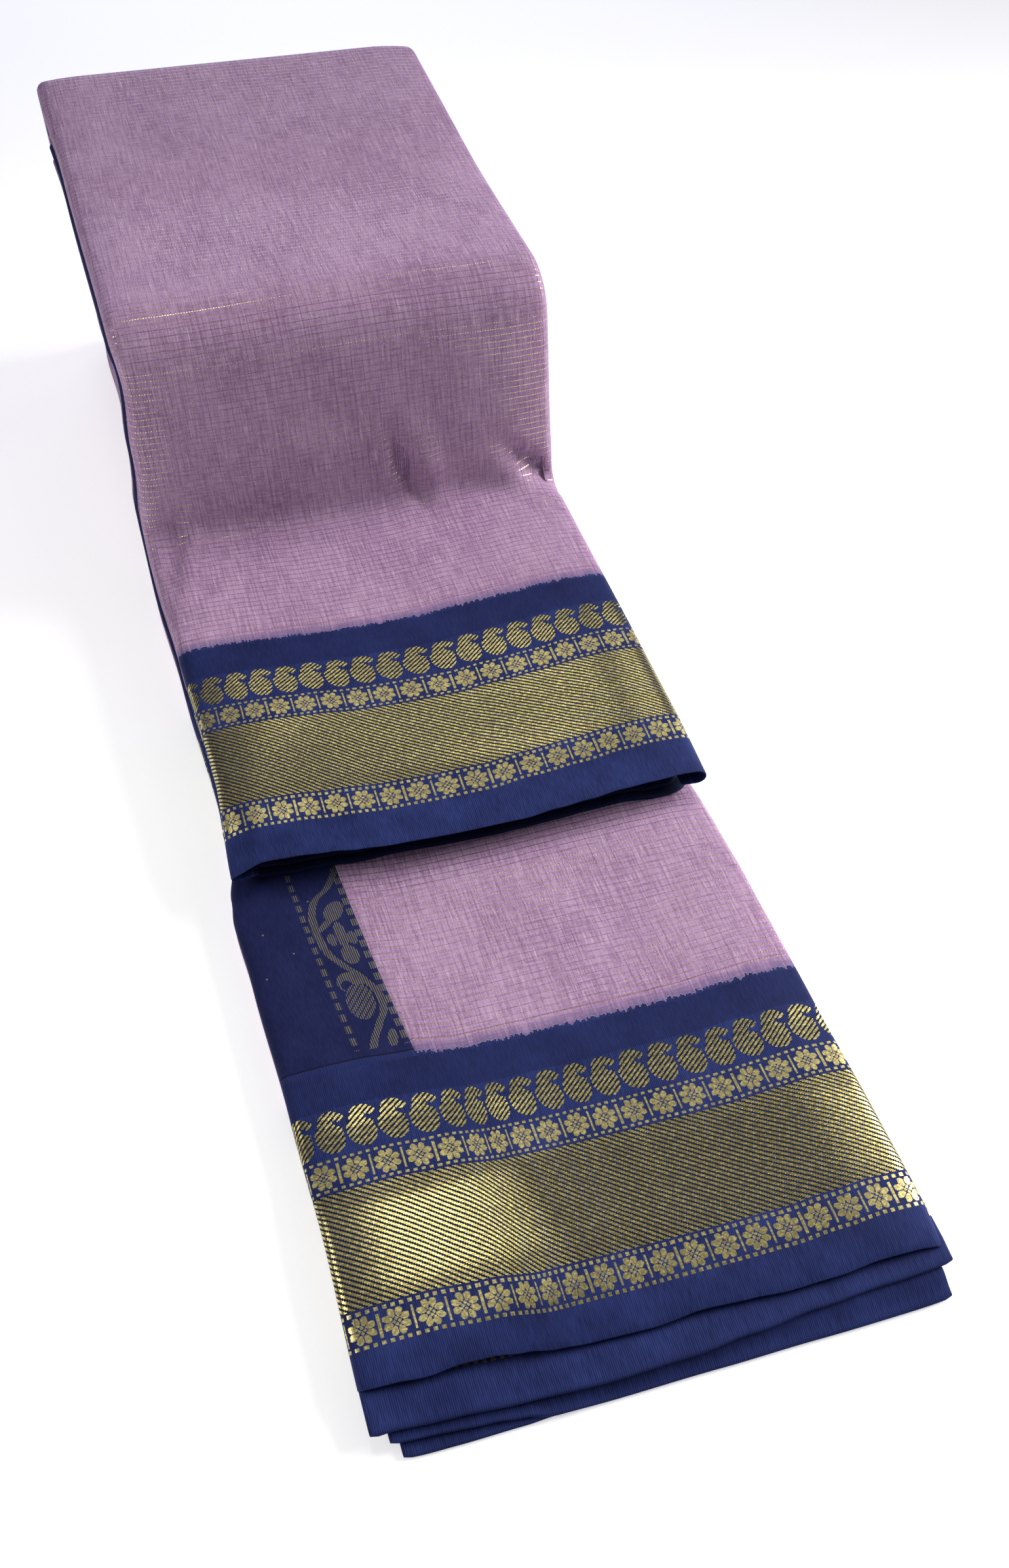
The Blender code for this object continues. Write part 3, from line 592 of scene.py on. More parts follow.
def lower_sides(length):
    return sides_from(LOWER_SIDES, length)


def pallu_meeting(length):
    """x of the line where the end piece meets the ground, by length along the lower tier."""
    bend = np.clip((PALLU_CURVE_END - length) / (PALLU_CURVE_END - LOWER_GROUND), 0.0, 1.2)
    return PALLU_RIGHT + PALLU_LEAN * (length - LOWER_GROUND) + PALLU_CURVE * bend * bend


def settled(x, y, z):
    """Skew the cross lines, raise the far end a little on the left and centre the whole."""
    share = eased(y, *FAR_TWIST_Y)
    lift = (FAR_LIFT - FAR_TWIST * x) * share * z / FAR_TOP
    x, y, z = np.broadcast_arrays(x, y + SKEW * x - MIDDLE_Y, z + lift)
    return np.stack((x, y, z), axis=-1)


def swept(line, length, x, depth):
    """Points at a length along a tier's line, x across it and depth below its top."""
    y, z = line.place(length)
    out_y, out_z = line.out(length)
    return settled(x, y - out_y * depth, z - out_z * depth)


# Meshes
def grid_normals(points):
    normals = np.cross(np.gradient(points, axis=1), np.gradient(points, axis=0))
    return normals / np.linalg.norm(normals, axis=2, keepdims=True)


def cell_corners(grid):
    """What a grid holds at the four corners of each of its cells."""
    return np.stack((grid[:-1, :-1], grid[:-1, 1:], grid[1:, 1:], grid[1:, :-1]), axis=2)


def edge_loop(rows, columns):
    """Row and column of the places round a grid's edge, in order."""
    loop = [(0, column) for column in range(columns)]
    loop += [(row, columns - 1) for row in range(1, rows)]
    loop += [(rows - 1, column) for column in range(columns - 2, -1, -1)]
    loop += [(row, 0) for row in range(rows - 2, 0, -1)]
    return np.array(loop)


def new_object(name, data):
    """A new object in the scene."""
    item = bpy.data.objects.new(name, data)
    bpy.context.scene.collection.objects.link(item)
    return item


def cloth_mesh(name, points, faces, cloth, bake, sharp):
    """A smooth mesh with its cloth coordinates and a second map, named OFBake, to bake to."""
    mesh = bpy.data.meshes.new(name)
    mesh.from_pydata(points.tolist(), [], faces)
    for map_name, places in (("cloth", cloth), ("OFBake", bake)):
        layer = mesh.uv_layers.new(name=map_name)
        layer.data.foreach_set("uv", places.astype(np.float32).ravel())
    mesh.uv_layers["cloth"].active_render = True
    mesh.shade_smooth()
    mesh.set_sharp_from_angle(angle=math.radians(sharp))
    return new_object(name, mesh)


# The parts of the bake map that a cloth's face, its back and its edge take
FACE_SHARE = 0.86
BACK_START = 0.88
BACK_END = 0.96
EDGE_START = 0.97
EDGE_SHARE = 0.02
MAP_MARGIN = 0.01

SHARP_CLOTH = 48.0         # edges that turn by more degrees than this are sharp
SHARP_LAYERS = 60.0


def closed_cloth(name, face, back, u, v, edge_profile):
    """Close a cloth's face and back with an edge. The profile gives share from face to back and bulge."""
    rows, columns = u.shape
    count = rows * columns
    loop = edge_loop(rows, columns)
    inner = face[np.clip(loop[:, 0], 1, rows - 2), np.clip(loop[:, 1], 1, columns - 2)]
    top = face[loop[:, 0], loop[:, 1]]
    bottom = back[loop[:, 0], loop[:, 1]]
    outward = top - inner
    outward /= np.linalg.norm(outward, axis=1, keepdims=True)
    rings = [top + (bottom - top) * share + outward * bulge for share, bulge in edge_profile]

    points = np.concatenate([face.reshape(-1, 3), back.reshape(-1, 3)] + rings)
    face_faces = cell_corners(np.arange(count).reshape(rows, columns)).reshape(-1, 4)
    back_faces = face_faces[:, ::-1] + count
    loop_index = loop[:, 0] * columns + loop[:, 1]
    after = np.roll(np.arange(len(loop)), -1)
    levels = [loop_index]
    levels += [2 * count + len(loop) * ring + np.arange(len(loop)) for ring in range(len(rings))]
    levels.append(loop_index + count)
    edge_faces = [
        np.stack((low, low[after], high[after], high), axis=1) for high, low in zip(levels, levels[1:])
    ]
    faces = np.concatenate([face_faces, back_faces] + edge_faces)

    flat_uv = np.stack((u, v), axis=-1).reshape(-1, 2)
    edge_uv = np.stack((u, v), axis=-1)[loop[:, 0], loop[:, 1]]
    vertex_uv = np.concatenate([flat_uv, flat_uv] + [edge_uv] * len(rings))
    cloth = vertex_uv[faces.ravel()]

    down, across = np.meshgrid(np.linspace(0, 1, rows), np.linspace(0, 1, columns), indexing="ij")
    across = MAP_MARGIN + across * (1.0 - 2.0 * MAP_MARGIN)
    face_map = np.stack((across, MAP_MARGIN + down * FACE_SHARE), axis=-1)
    back_map = np.stack((across, BACK_START + down * (BACK_END - BACK_START)), axis=-1)
    vertex_map = np.concatenate([face_map.reshape(-1, 2), back_map.reshape(-1, 2)])
    bake = vertex_map[faces[: 2 * len(face_faces)].ravel()]
    place = np.arange(len(loop)) / len(loop)
    step = 1.0 / len(loop)
    strips = []
    for level in range(len(levels) - 1):
        low = EDGE_START + EDGE_SHARE * level / len(levels)
        high = EDGE_START + EDGE_SHARE * (level + 1) / len(levels)
        strips.append(np.stack([
            np.stack((place + ahead, np.full(len(loop), height)), axis=1)
            for ahead, height in ((0.0, high), (step, high), (step, low), (0.0, low))
        ], axis=1).reshape(-1, 2))
    bake = np.concatenate([bake] + strips)
    return cloth_mesh(name, points, faces.tolist(), cloth, bake, SHARP_CLOTH)


THIN_EDGE = ((0.2, 0.00022), (0.5, 0.00034), (0.8, 0.00022))


def thin_cloth(name, face, u, v):
    """A ply of cloth with a rounded edge."""
    back = face - grid_normals(face) * PLY
    return closed_cloth(name, face, back, u, v, THIN_EDGE)


def lofted(name, rings, u, v):
    """Skin closed rings of points, with both ends closed."""
    rows, columns = rings.shape[:2]
    u = np.concatenate([u, u[:, -1:] + (u[:, -1:] - u[:, -2:-1])], axis=1)
    v = np.concatenate([v, v[:, :1]], axis=1)
    index = np.arange(rows * columns).reshape(rows, columns)
    index = np.concatenate([index, index[:, :1]], axis=1)
    sides = cell_corners(index).reshape(-1, 4).tolist()
    caps = [list(reversed(range(columns))), list(range((rows - 1) * columns, rows * columns))]

    corner_uv = np.stack((u, v), axis=-1)
    down, across = np.meshgrid(
        np.linspace(MAP_MARGIN, EDGE_START, rows), np.linspace(MAP_MARGIN, 1.0 - MAP_MARGIN, columns + 1),
        indexing="ij",
    )
    corner_map = np.stack((across, down), axis=-1)
    cap_uv = np.concatenate([corner_uv[0, :columns][::-1], corner_uv[-1, :columns]])
    cap_map = np.tile((0.5, 0.985), (2 * columns, 1))
    cap_map[:, 0] = np.tile(np.linspace(0.1, 0.9, columns), 2)
    cloth = np.concatenate([cell_corners(corner_uv).reshape(-1, 2), cap_uv])
    bake = np.concatenate([cell_corners(corner_map).reshape(-1, 2), cap_map])
    return cloth_mesh(name, rings.reshape(-1, 3), sides + caps, cloth, bake, SHARP_LAYERS)


# Covers
def steps_over(size, step):
    return max(2, math.ceil(size / step) + 1)


class Section:
    """A cover's section: its top from one side to the other, turned down round a folded side at will."""

    def __init__(self, sides, radius, turn_left, turn_right):
        self.sides = sides
        self.radius = radius
        self.turned = (turn_left, turn_right)
        left, right = sides(np.array(LOWER_GROUND))
        top = np.linspace(0.0, 1.0, steps_over(float(right - left), COLUMN_STEP))
        fold = [(turn, 0.0) for turn in np.linspace(0.0, math.pi, TURN_STEPS + 1)[1:]]
        fold += [(math.pi, share * FOLD_RETURN) for share in (0.5, 1.0)]
        columns = [(0.0, turn, back, -1.0) for turn, back in reversed(fold) if turn_left]
        columns += [(share, 0.0, 0.0, 0.0) for share in top]
        columns += [(1.0, turn, back, 1.0) for turn, back in fold if turn_right]
        self.share, self.turn, self.back, self.outward = np.array(columns).T

    def across(self, length):
        """x, depth and cloth coordinate of every column at lengths given as rows by columns."""
        left, right = self.sides(length)
        first = left + self.radius * self.turned[0]
        last = right - self.radius * self.turned[1]
        top_x = first + (last - first) * self.share
        x = top_x + self.outward * (self.radius * np.sin(self.turn) - self.back)
        depth = self.radius * (1.0 - np.cos(self.turn)) + 0.0 * length
        u = top_x + self.outward * (self.radius * self.turn + self.back)
        return x, depth, u


def cover(name, line, section, height, start, finish, bow_column, shift, edge=None):
    """One stretch of a tier's cover, between two woven lines given by their length at mid-width."""
    columns = len(section.share)
    guide_x, _, _ = section.across(np.full((1, columns), max(0.0, start)))
    bow = read_table(BOW, guide_x[0], bow_column)
    first = start + (bow if edge is None else read_table(edge, guide_x[0], 1))
    last = np.full(columns, finish) + (bow if finish < line.length - 0.001 else 0.0)
    rows = steps_over(finish - start, ROW_STEP)
    down = np.linspace(0.0, 1.0, rows)[:, None]
    length = first + (last - first) * down
    x, depth, u = section.across(length)
    top_x = np.clip(x, guide_x.min(), guide_x.max())
    side_fade = (1.0 + np.cos(section.turn)) / 2.0
    rise = height(top_x, length) * side_fade - side_droop(top_x)
    points = swept(line, length, x, depth - rise)
    v = length + shift - bow * (1.0 - eased(length, *BOW_FADE))
    return thin_cloth(name, points, u, v)


def warped(u, table, start):
    """Cloth coordinate across, where the motifs are drawn closer together."""
    rows = np.array(table)
    places = np.linspace(rows[0, 0], rows[-1, 0], PITCH_SAMPLES)
    share = MOTIF / read_table(table, places, 1)
    total = np.concatenate([[0.0], np.cumsum((share[1:] + share[:-1]) / 2.0 * np.diff(places))])
    total += start / 1000.0 - np.interp(0.0, places, total)
    return np.interp(u, places, total)


def redraw_across(piece, change):
    """Change a piece's cloth coordinate across, as worked out from both coordinates."""
    data = piece.data.uv_layers["cloth"].data
    pairs = np.zeros((len(data), 2), np.float32)
    data.foreach_get("uv", pairs.ravel())
    pairs[:, 0] = change(pairs[:, 0], pairs[:, 1])
    data.foreach_set("uv", pairs.ravel())


def pull_cloth(piece, table, start):
    """Draw the woven pattern of a piece closer together across it."""
    redraw_across(piece, lambda u, v: warped(u, table, start))


def ground_sides(length):
    return pallu_meeting(length), lower_sides(length)[1]


def pallu_sides(length):
    return lower_sides(length)[0], pallu_meeting(length)


def upper_cover_pieces():
    section = Section(upper_sides, UPPER_FOLD, True, True)
    border = cover(
        "upper_border_cloth", UPPER, section, upper_height, 0.0, UPPER_GROUND, 1, UPPER_SHIFT, UPPER_EDGE,
    )
    pull_cloth(border, UPPER_PITCH, UPPER_MOTIF_START)
    body = cover(
        "upper_body_cloth", UPPER, section, upper_height, UPPER_GROUND, UPPER.length, 1, UPPER_SHIFT,
    )
    return border, body


def lower_cover_pieces():
    whole = Section(lower_sides, LOWER_FOLD, True, True)
    ground = Section(ground_sides, LOWER_FOLD, False, True)
    end = Section(pallu_sides, LOWER_FOLD, True, False)
    border = cover(
        "lower_border_cloth", LOWER, whole, lower_height, 0.0, LOWER_GROUND, 2, LOWER_SHIFT, LOWER_EDGE,
    )
    pull_cloth(border, LOWER_PITCH, LOWER_MOTIF_START)
    body = cover(
        "lower_body_cloth", LOWER, ground, lower_height, LOWER_GROUND, LOWER.length, 2, LOWER_SHIFT,
    )
    pallu = cover(
        "lower_pallu_cloth", LOWER, end, lower_height, LOWER_GROUND, LOWER.length, 2, 0.0,
    )
    # The end piece is measured from the line where it meets the ground
    redraw_across(pallu, lambda u, v: u - pallu_meeting(v))
    return border, body, pallu


# Layers
def nose(share, depth):
    """How far a rounded fold's face stands in at a share of its height."""
    return depth * (1.0 - np.sqrt(np.maximum(0.0, 1.0 - np.abs(2.0 * share - 1.0) ** 2.4)))


FOLD_SAMPLES = np.linspace(0.0, 1.0, 9)


def stacked_folds(edge, outward, bounds, tucked=0.0):
    """x and depth down a side made of rounded folds between the given depths."""
    points = []
    for high, low in zip(bounds, bounds[1:]):
        deep = np.minimum(FOLD_NOSE, (low - high) * 0.5)
        for share in FOLD_SAMPLES:
            points.append((edge - outward * (nose(share, deep) + tucked), high + (low - high) * share))
        tucked = 0.0
    return points


def top_places(left, right, fold):
    """x of the layers' top between a cover's two folded sides."""
    width = right - left - 2.0 * fold
    return [left + fold + width * share for share in np.linspace(0.0, 1.0, LAYER_COLUMNS)]


def ring_columns(ring, length):
    """Both coordinates of a ring's points, as grids with a row for each length."""
    return [np.stack([point[axis] + 0.0 * length for point in ring], axis=1) for axis in (0, 1)]


def strip_depths(length):
    """Depth of the upper tier's underside, the lower tier's top and the strip's underside."""
    _, z = UPPER.place(length)
    _, out_z = UPPER.out(length)
    floor = (z < FLOOR_MAX_Z) & (out_z > FLOOR_MIN_OUT_Z)
    under = 2.0 * read_table(UPPER_HALF, length, 1)
    bottom = np.where(floor, z / out_z, read_table(STRIP_DEPTH, length, 1))
    share = np.where(floor, 1.0 - LOWER_TOP / z, RAISED_UPPER_SHARE)
    low_top = np.maximum(under + 4.0 * SEAM, bottom * share)
    return under, low_top, bottom


def strip_lengths(step):
    """Lengths along the upper tier's line over which the hidden strip runs."""
    return np.linspace(STRIP_START, STRIP_END, steps_over(STRIP_END - STRIP_START, step))


def strip_layers():
    """The layers inside and under the upper tier."""
    length = strip_lengths(LAYER_STEP)
    left, right = upper_sides(length)
    under, low_top, bottom = strip_depths(length)
    low_left = np.maximum(-HALF_WIDTH, left - NAVY_LINE)
    ring = [
        (x, UNDER_PLY - upper_height(x, length) + side_droop(x)) for x in top_places(left, right, UPPER_FOLD)
    ]
    ring += strip_side(right, right - RIGHT_LOW_INSET, 1.0, under, low_top, bottom, 0.0)
    ring += strip_side(left, low_left, -1.0, under, low_top, bottom, 2.0 * EDGE_FOLD)[::-1]
    x, depth = ring_columns(ring, length)
    rows = np.repeat(length[:, None], x.shape[1], axis=1)
    return lofted("strip_layers", swept(UPPER, rows, x, depth), run_along(x, depth), rows)


def inside_fold(edge, outward, fold):
    """x and depth down the layers' side inside a cover's fold, and the depth of that fold."""
    inside = edge - outward * (fold + FOLD_INSIDE)
    droop = side_droop(edge)
    tube = 2.0 * fold + droop
    points = [(inside, UNDER_PLY + 0.0004 + droop), (inside, tube - FOLD_INSIDE)]
    points.append((edge - outward * (fold + FOLD_RETURN), tube + 0.0001))
    return points, tube


def strip_side(edge, low_edge, outward, under, low_top, bottom, edge_fold):
    """One side of the strip's layers: inside the cover's fold, then folds of the upper and lower tiers."""
    points, tube = inside_fold(edge, outward, UPPER_FOLD)
    lowest = np.maximum(under, tube + 0.0006)
    half_way = tube + (lowest - tube) / 2.0
    points += stacked_folds(edge, outward, (tube + 0.0002, half_way, lowest), TUCK)
    below = np.maximum(low_top, lowest + 0.0002)
    points.append((low_edge - outward * TIER_CREASE, lowest + 0.0001))
    points.append((low_edge - outward * TIER_CREASE, below))
    first = below + edge_fold
    if edge_fold > 0.0:
        points.append((low_edge - outward * 0.0048, first))
        bounds = (first, first + (bottom - first) * 0.5, bottom)
    else:
        bounds = (first, first + (bottom - first) * 0.34, first + (bottom - first) * 0.66, bottom)
    return points + stacked_folds(low_edge, outward, bounds, LOW_TUCK)


def edge_fold_piece():
    """The navy fold of the end piece that shows as a thin line along the left side."""
    length = strip_lengths(EDGE_FOLD_STEP)[:, None]
    left, _ = upper_sides(length)
    under, low_top, _ = strip_depths(length)
    depth = np.maximum(low_top, np.maximum(under, 2.0 * UPPER_FOLD + 0.0006) + 0.0002)
    edge = np.maximum(-HALF_WIDTH, left - NAVY_LINE)
    turns = np.linspace(math.pi, 0.0, 13)[None, :]
    x = edge + EDGE_FOLD - EDGE_FOLD * np.sin(turns)
    down = depth + EDGE_FOLD * (1.0 - np.cos(turns))
    inner_x = edge + EDGE_FOLD + np.array([[EDGE_FOLD_REACH * 0.5, EDGE_FOLD_REACH]])
    x = np.concatenate([inner_x[:, ::-1], x, inner_x], axis=1)
    down = np.concatenate([
        np.repeat(depth + 2.0 * EDGE_FOLD, 2, axis=1), down, np.repeat(depth, 2, axis=1),
    ], axis=1)
    rows = np.repeat(length, x.shape[1], axis=1)
    u = run_along(x, down) - EDGE_FOLD_FROM_GROUND
    return thin_cloth("pallu_edge_cloth", swept(UPPER, rows, x, down), u, rows)


def tier_layers():
    """The layers of the lower tier under its cover."""
    start = LOWER.length_at(NEAR_BACK_Y + SEAM)
    length = np.linspace(start, LOWER.length, steps_over(LOWER.length - start, LAYER_STEP))
    left, right = lower_sides(length)
    y, top = LOWER.place(length)
    ring = [
        (x, top - UNDER_PLY + lower_height(x, length) - side_droop(x))
        for x in top_places(left, right, LOWER_FOLD)
    ]
    ring += tier_side(right, 1.0, top)
    ring += tier_side(left, -1.0, top)[::-1]
    x, z = ring_columns(ring, length)
    v = np.repeat(length[:, None], x.shape[1], axis=1) + LOWER_SHIFT
    return lofted("tier_layers", settled(x, y[:, None], z), run_along(x, z), v)


def tier_side(edge, outward, top):
    """One side of the lower tier: inside the cover's fold, then two fat folds. Gives x and z."""
    points, tube = inside_fold(edge, outward, LOWER_FOLD)
    first = tube + 0.0002
    points += stacked_folds(edge, outward, (first, first + (top - first) * 0.52, top), TUCK)
    return [(x, top - depth) for x, depth in points]


def pile_layers():
    """The raised pile: fat folds one on another, each a little off the one below."""
    rings = []
    for fold in range(PILE_FOLDS):
        for step in range(PILE_STEPS):
            share = step / PILE_STEPS
            inset = float(nose(np.array(share), PILE_NOSE)) + 0.0002
            rings.append(pile_ring(PILE_TOP * (fold + share) / PILE_FOLDS, inset, fold))
    rings.append(pile_ring(PILE_TOP, PILE_NOSE, PILE_FOLDS - 1))
    x, y, z = np.moveaxis(np.array(rings), -1, 0)
    v = np.repeat(run_of(np.array(rings[0]))[None, :], len(rings), axis=0) + PILE_CLOTH_START
    return lofted("pile_layers", settled(x, y, z), z, v)


def pile_ring(z, inset, fold):
    """Outline of the pile at one height, its sides a little uneven from fold to fold."""
    shift = PILE_SHIFT * math.sin(2.1 * fold + 0.6)
    shift_back = PILE_BACK_SHIFT * math.sin(1.7 * fold + 2.0)
    half = PILE_HALF_WIDTH - inset
    back = PILE_BACK_Y - inset + shift_back
    front = PILE_FRONT_Y + max(0.0, z - PILE_SLOPE_Z)
    side_start = back - PILE_CORNER
    ring = []
    for side in (1.0, -1.0):
        run = []
        for y in np.linspace(front, side_start, 40)[:-1]:
            sway = 0.0007 * math.sin(41.0 * y + 2.3 * fold) + 0.0005 * math.sin(97.0 * y + 5.1 * fold)
            run.append((side * (half + sway) + shift, y, z))
        for angle in np.linspace(0.0, math.pi / 2.0, 9):
            x = side * (half - PILE_CORNER + PILE_CORNER * math.cos(angle)) + shift
            run.append((x, side_start + PILE_CORNER * math.sin(angle), z))
        ring += run if side > 0.0 else run[::-1]
        if side > 0.0:
            for x in np.linspace(half - PILE_CORNER, -half + PILE_CORNER, 30)[1:-1]:
                sway = 0.0008 * math.sin(33.0 * x + 1.9 * fold) + 0.0004 * math.sin(88.0 * x + fold)
                ring.append((x + shift, back + sway, z))
    for x in np.linspace(-half, half, 12)[1:-1]:
        ring.append((x + shift, front, z))
    return ring


def far_fold_layers():
    """The layers inside the fold at the far end, ending in a round nose."""
    cover_depth = 2.0 * UPPER_FOLD
    top = FAR_TOP - cover_depth
    bottom = FAR_BOTTOM + cover_depth
    nose_radius = (top - bottom) / 2.0
    centre_y = FAR_Y - FAR_RADIUS
    line = [(CORE_START_Y, top - 0.0040)]
    for angle in np.linspace(math.pi / 2.0, -math.pi / 2.0, 13):
        line.append((
            centre_y + (nose_radius + 0.0005) * math.cos(angle),
            (top + bottom) / 2.0 + nose_radius * math.sin(angle),
        ))
    line.append((CORE_START_Y, bottom))
    line = np.array(line)
    half = HALF_WIDTH - FAR_INSET
    centre = line.mean(axis=0)
    rings = []
    for place in half * np.linspace(-1.0, 1.0, 30):
        ending = max(0.0, abs(place) / half - FAR_SQUEEZE_FROM) / (1.0 - FAR_SQUEEZE_FROM)
        squeeze = 1.0 - FAR_SQUEEZE * ending
        rings.append([(place, *(centre + (point - centre) * squeeze)) for point in line])
    x, y, z = np.moveaxis(np.array(rings), -1, 0)
    v = np.repeat(run_of(line)[None, :], len(rings), axis=0) + FAR_CLOTH_START
    return lofted("far_fold_layers", settled(x, y, z), x, v)


# Plies with their own edges
PLY_EDGE = (
    # share from face to back, bulge
    (0.08, 0.00045),
    (0.22, 0.00075),
    (0.33, 0.00040),
    (0.45, 0.00085),
    (0.60, 0.00080),
    (0.68, 0.00040),
    (0.80, 0.00075),
    (0.94, 0.00040),
)


def ply_grid(rows, left_x, right_x):
    """Share of the way to a ply's edge, share of the way off its middle, and x."""
    share = np.linspace(0.0, 1.0, rows)[:, None]
    across = np.linspace(0.0, 1.0, PLY_COLUMNS)[None, :]
    return share, np.abs(2.0 * across - 1.0), left_x + (right_x - left_x) * across + 0.0 * share


def edged_ply(name, x, y, edge, low, high):
    """A ply between two heights, from its edge back."""
    face = settled(x, y, high)[::-1]
    back = settled(x, y, low)[::-1]
    return closed_cloth(name + "_cloth", face, back, x[::-1], (y - edge)[::-1], PLY_EDGE)


def near_ply(name, bottom, top, left_x, right_x):
    """A folded ply whose navy edge steps out at the near end."""
    share, off_middle, x = ply_grid(NEAR_ROWS, left_x, right_x)
    edge = read_table(NEAR_EDGES[name], x, 1) + NEAR_CORNER * off_middle ** 16
    y = NEAR_BACK_Y + (edge - NEAR_BACK_Y) * share ** 0.7
    settle = 1.0 - eased(y - edge, 0.0, EDGE_SETTLE)
    low = bottom + (read_table(NEAR_EDGES[name], x, 2) - bottom) * settle
    high = top + (read_table(NEAR_EDGES[name], x, 3) - top) * settle
    return edged_ply(name, x, y, edge, low, high)


def mouth_ply(name, bottom, top, set_back, left_x, right_x):
    """A thin ply set back inside the open end of the upper tier, its corners rounded off."""
    share, off_middle, x = ply_grid(MOUTH_ROWS, left_x, right_x)
    edge = read_table(LIP, x, 1) + set_back + MOUTH_CORNER * off_middle ** 30
    y = (TIER_BACK_Y - SEAM) + (edge - TIER_BACK_Y + SEAM) * share
    sunk = side_droop(x)
    return edged_ply(name, x, y, edge, bottom - sunk, top - sunk)


# Shader arithmetic
class Value:
    """A number that changes over the cloth: an output of a shader node, open to plain arithmetic."""

    def __init__(self, socket):
        self.socket = socket
        self.tree = socket.id_data

    def math(self, operation, *others):
        node = self.tree.nodes.new("ShaderNodeMath")
        node.operation = operation
        for item, socket in zip((self,) + others, node.inputs):
            link(item, socket)
        return Value(node.outputs[0])

    __add__ = partialmethod(math, "ADD")
    __radd__ = __add__
    __sub__ = partialmethod(math, "SUBTRACT")
    __mul__ = partialmethod(math, "MULTIPLY")
    angle = partialmethod(math, "ARCTAN2")
    below = partialmethod(math, "LESS_THAN")
    above = partialmethod(math, "GREATER_THAN")
    larger = partialmethod(math, "MAXIMUM")
    floor = partialmethod(math, "FLOOR")
    fract = partialmethod(math, "FRACT")
    size = partialmethod(math, "ABSOLUTE")
    cosine = partialmethod(math, "COSINE")
    sine = partialmethod(math, "SINE")
    root = partialmethod(math, "SQRT")

    def __rsub__(self, other):
        return (self * -1.0) + other

    def other(self):
        """The rest of a mask."""
        return 1.0 - self

    def eased(self, low, high):
        node = self.tree.nodes.new("ShaderNodeMapRange")
        node.interpolation_type = "SMOOTHSTEP"
        link(self, node.inputs["Value"])
        node.inputs["From Min"].default_value = low
        node.inputs["From Max"].default_value = high
        return Value(node.outputs["Result"])


def link(source, socket):
    """Connect a value or a node's output to an input, or set the input to a constant."""
    if isinstance(source, Value):
        source = source.socket
    if isinstance(source, bpy.types.NodeSocket):
        socket.id_data.links.new(source, socket)
    else:
        socket.default_value = source


def mixed(share, first, second):
    """Colour between two colours."""
    node = share.tree.nodes.new("ShaderNodeMix")
    node.data_type = "RGBA"
    node.clamp_factor = True
    link(share, node.inputs["Factor"])
    link(first, node.inputs["A"])
    link(second, node.inputs["B"])
    return node.outputs["Result"]


def texture(kind, u, v):
    """A texture node read at two numbers."""
    node = u.tree.nodes.new(kind)
    node.noise_dimensions = "2D"
    place = u.tree.nodes.new("ShaderNodeCombineXYZ")
    link(u, place.inputs["X"])
    link(v, place.inputs["Y"])
    link(place.outputs[0], node.inputs["Vector"])
    return node


def noise(u, v, per_u, per_v, detail):
    """Soft noise with so many waves a millimetre each way."""
    node = texture("ShaderNodeTexNoise", u * per_u, v * per_v)
    node.inputs["Scale"].default_value = 1.0
    node.inputs["Detail"].default_value = detail
    return Value(node.outputs[0])


def chance(u, v):
    """A random number from 0 to 1 for each whole pair of numbers."""
    return Value(texture("ShaderNodeTexWhiteNoise", u, v).outputs["Value"])


def new_group(name, *outputs):
    """An empty node group: its cloth coordinates as values, and its output node."""
    tree = bpy.data.node_groups.new(name, "ShaderNodeTree")
    for item in ("U", "V"):
        tree.interface.new_socket(name=item, in_out="INPUT", socket_type="NodeSocketFloat")
    for item in outputs:
        kind = "NodeSocketColor" if item == "Colour" else "NodeSocketFloat"
        tree.interface.new_socket(name=item, in_out="OUTPUT", socket_type=kind)
    entry = tree.nodes.new("NodeGroupInput")
    leave = tree.nodes.new("NodeGroupOutput")
    return Value(entry.outputs["U"]), Value(entry.outputs["V"]), leave


def finished(leave, **values):
    """Connect values to a group's outputs, and give the group."""
    for name, value in values.items():
        link(value, leave.inputs[name])
    return leave.id_data


def placed(group, u, v):
    """Place a group in a material's tree at cloth coordinates, and give its outputs by name."""
    node = u.tree.nodes.new("ShaderNodeGroup")
    node.node_tree = GROUPS[group]
    link(u, node.inputs["U"])
    link(v, node.inputs["V"])
    return {output.name: Value(output) for output in node.outputs}


def wave(place, pitch):
    """An even wave over the cloth, from -1 to 1."""
    return (place * (2.0 * math.pi / pitch)).cosine()


def repeat(place, pitch, start=0.0):
    """Share of the way through each repeat, from 0 to 1."""
    return (place * (1.0 / pitch) + start).fract()


def oval(x, y, centre_x, centre_y, half_x, half_y, turn=0.0):
    """Mask of an oval turned by so many degrees."""
    angle = math.radians(turn)
    side = x - centre_x
    up = y - centre_y
    over = (side * math.cos(angle) + up * math.sin(angle)) * (1.0 / half_x)
    along = (up * math.cos(angle) - side * math.sin(angle)) * (1.0 / half_y)
    return (over * over + along * along).below(1.0)


def navy_threads_group():
    """Ribbed navy silk: its colour and the relief of its threads."""
    u, v, leave = new_group("navy_threads", "Colour", "Height")
    rib = wave(u, RIB)
    pick = wave(v, PICK)
    streak = noise(u, v, 1.4, 0.20, 1.0)
    cloud = noise(u, v, 0.05, 0.05, 2.0)
    tone = rib * 0.20 + pick * 0.05 + streak * 0.5 + cloud * 0.6 - 0.10
    colour = mixed(tone.eased(0.0, 1.0), linear("navy_dark"), linear("navy_light"))
    return finished(leave, Colour=colour, Height=rib * 0.5 + pick * 0.25)


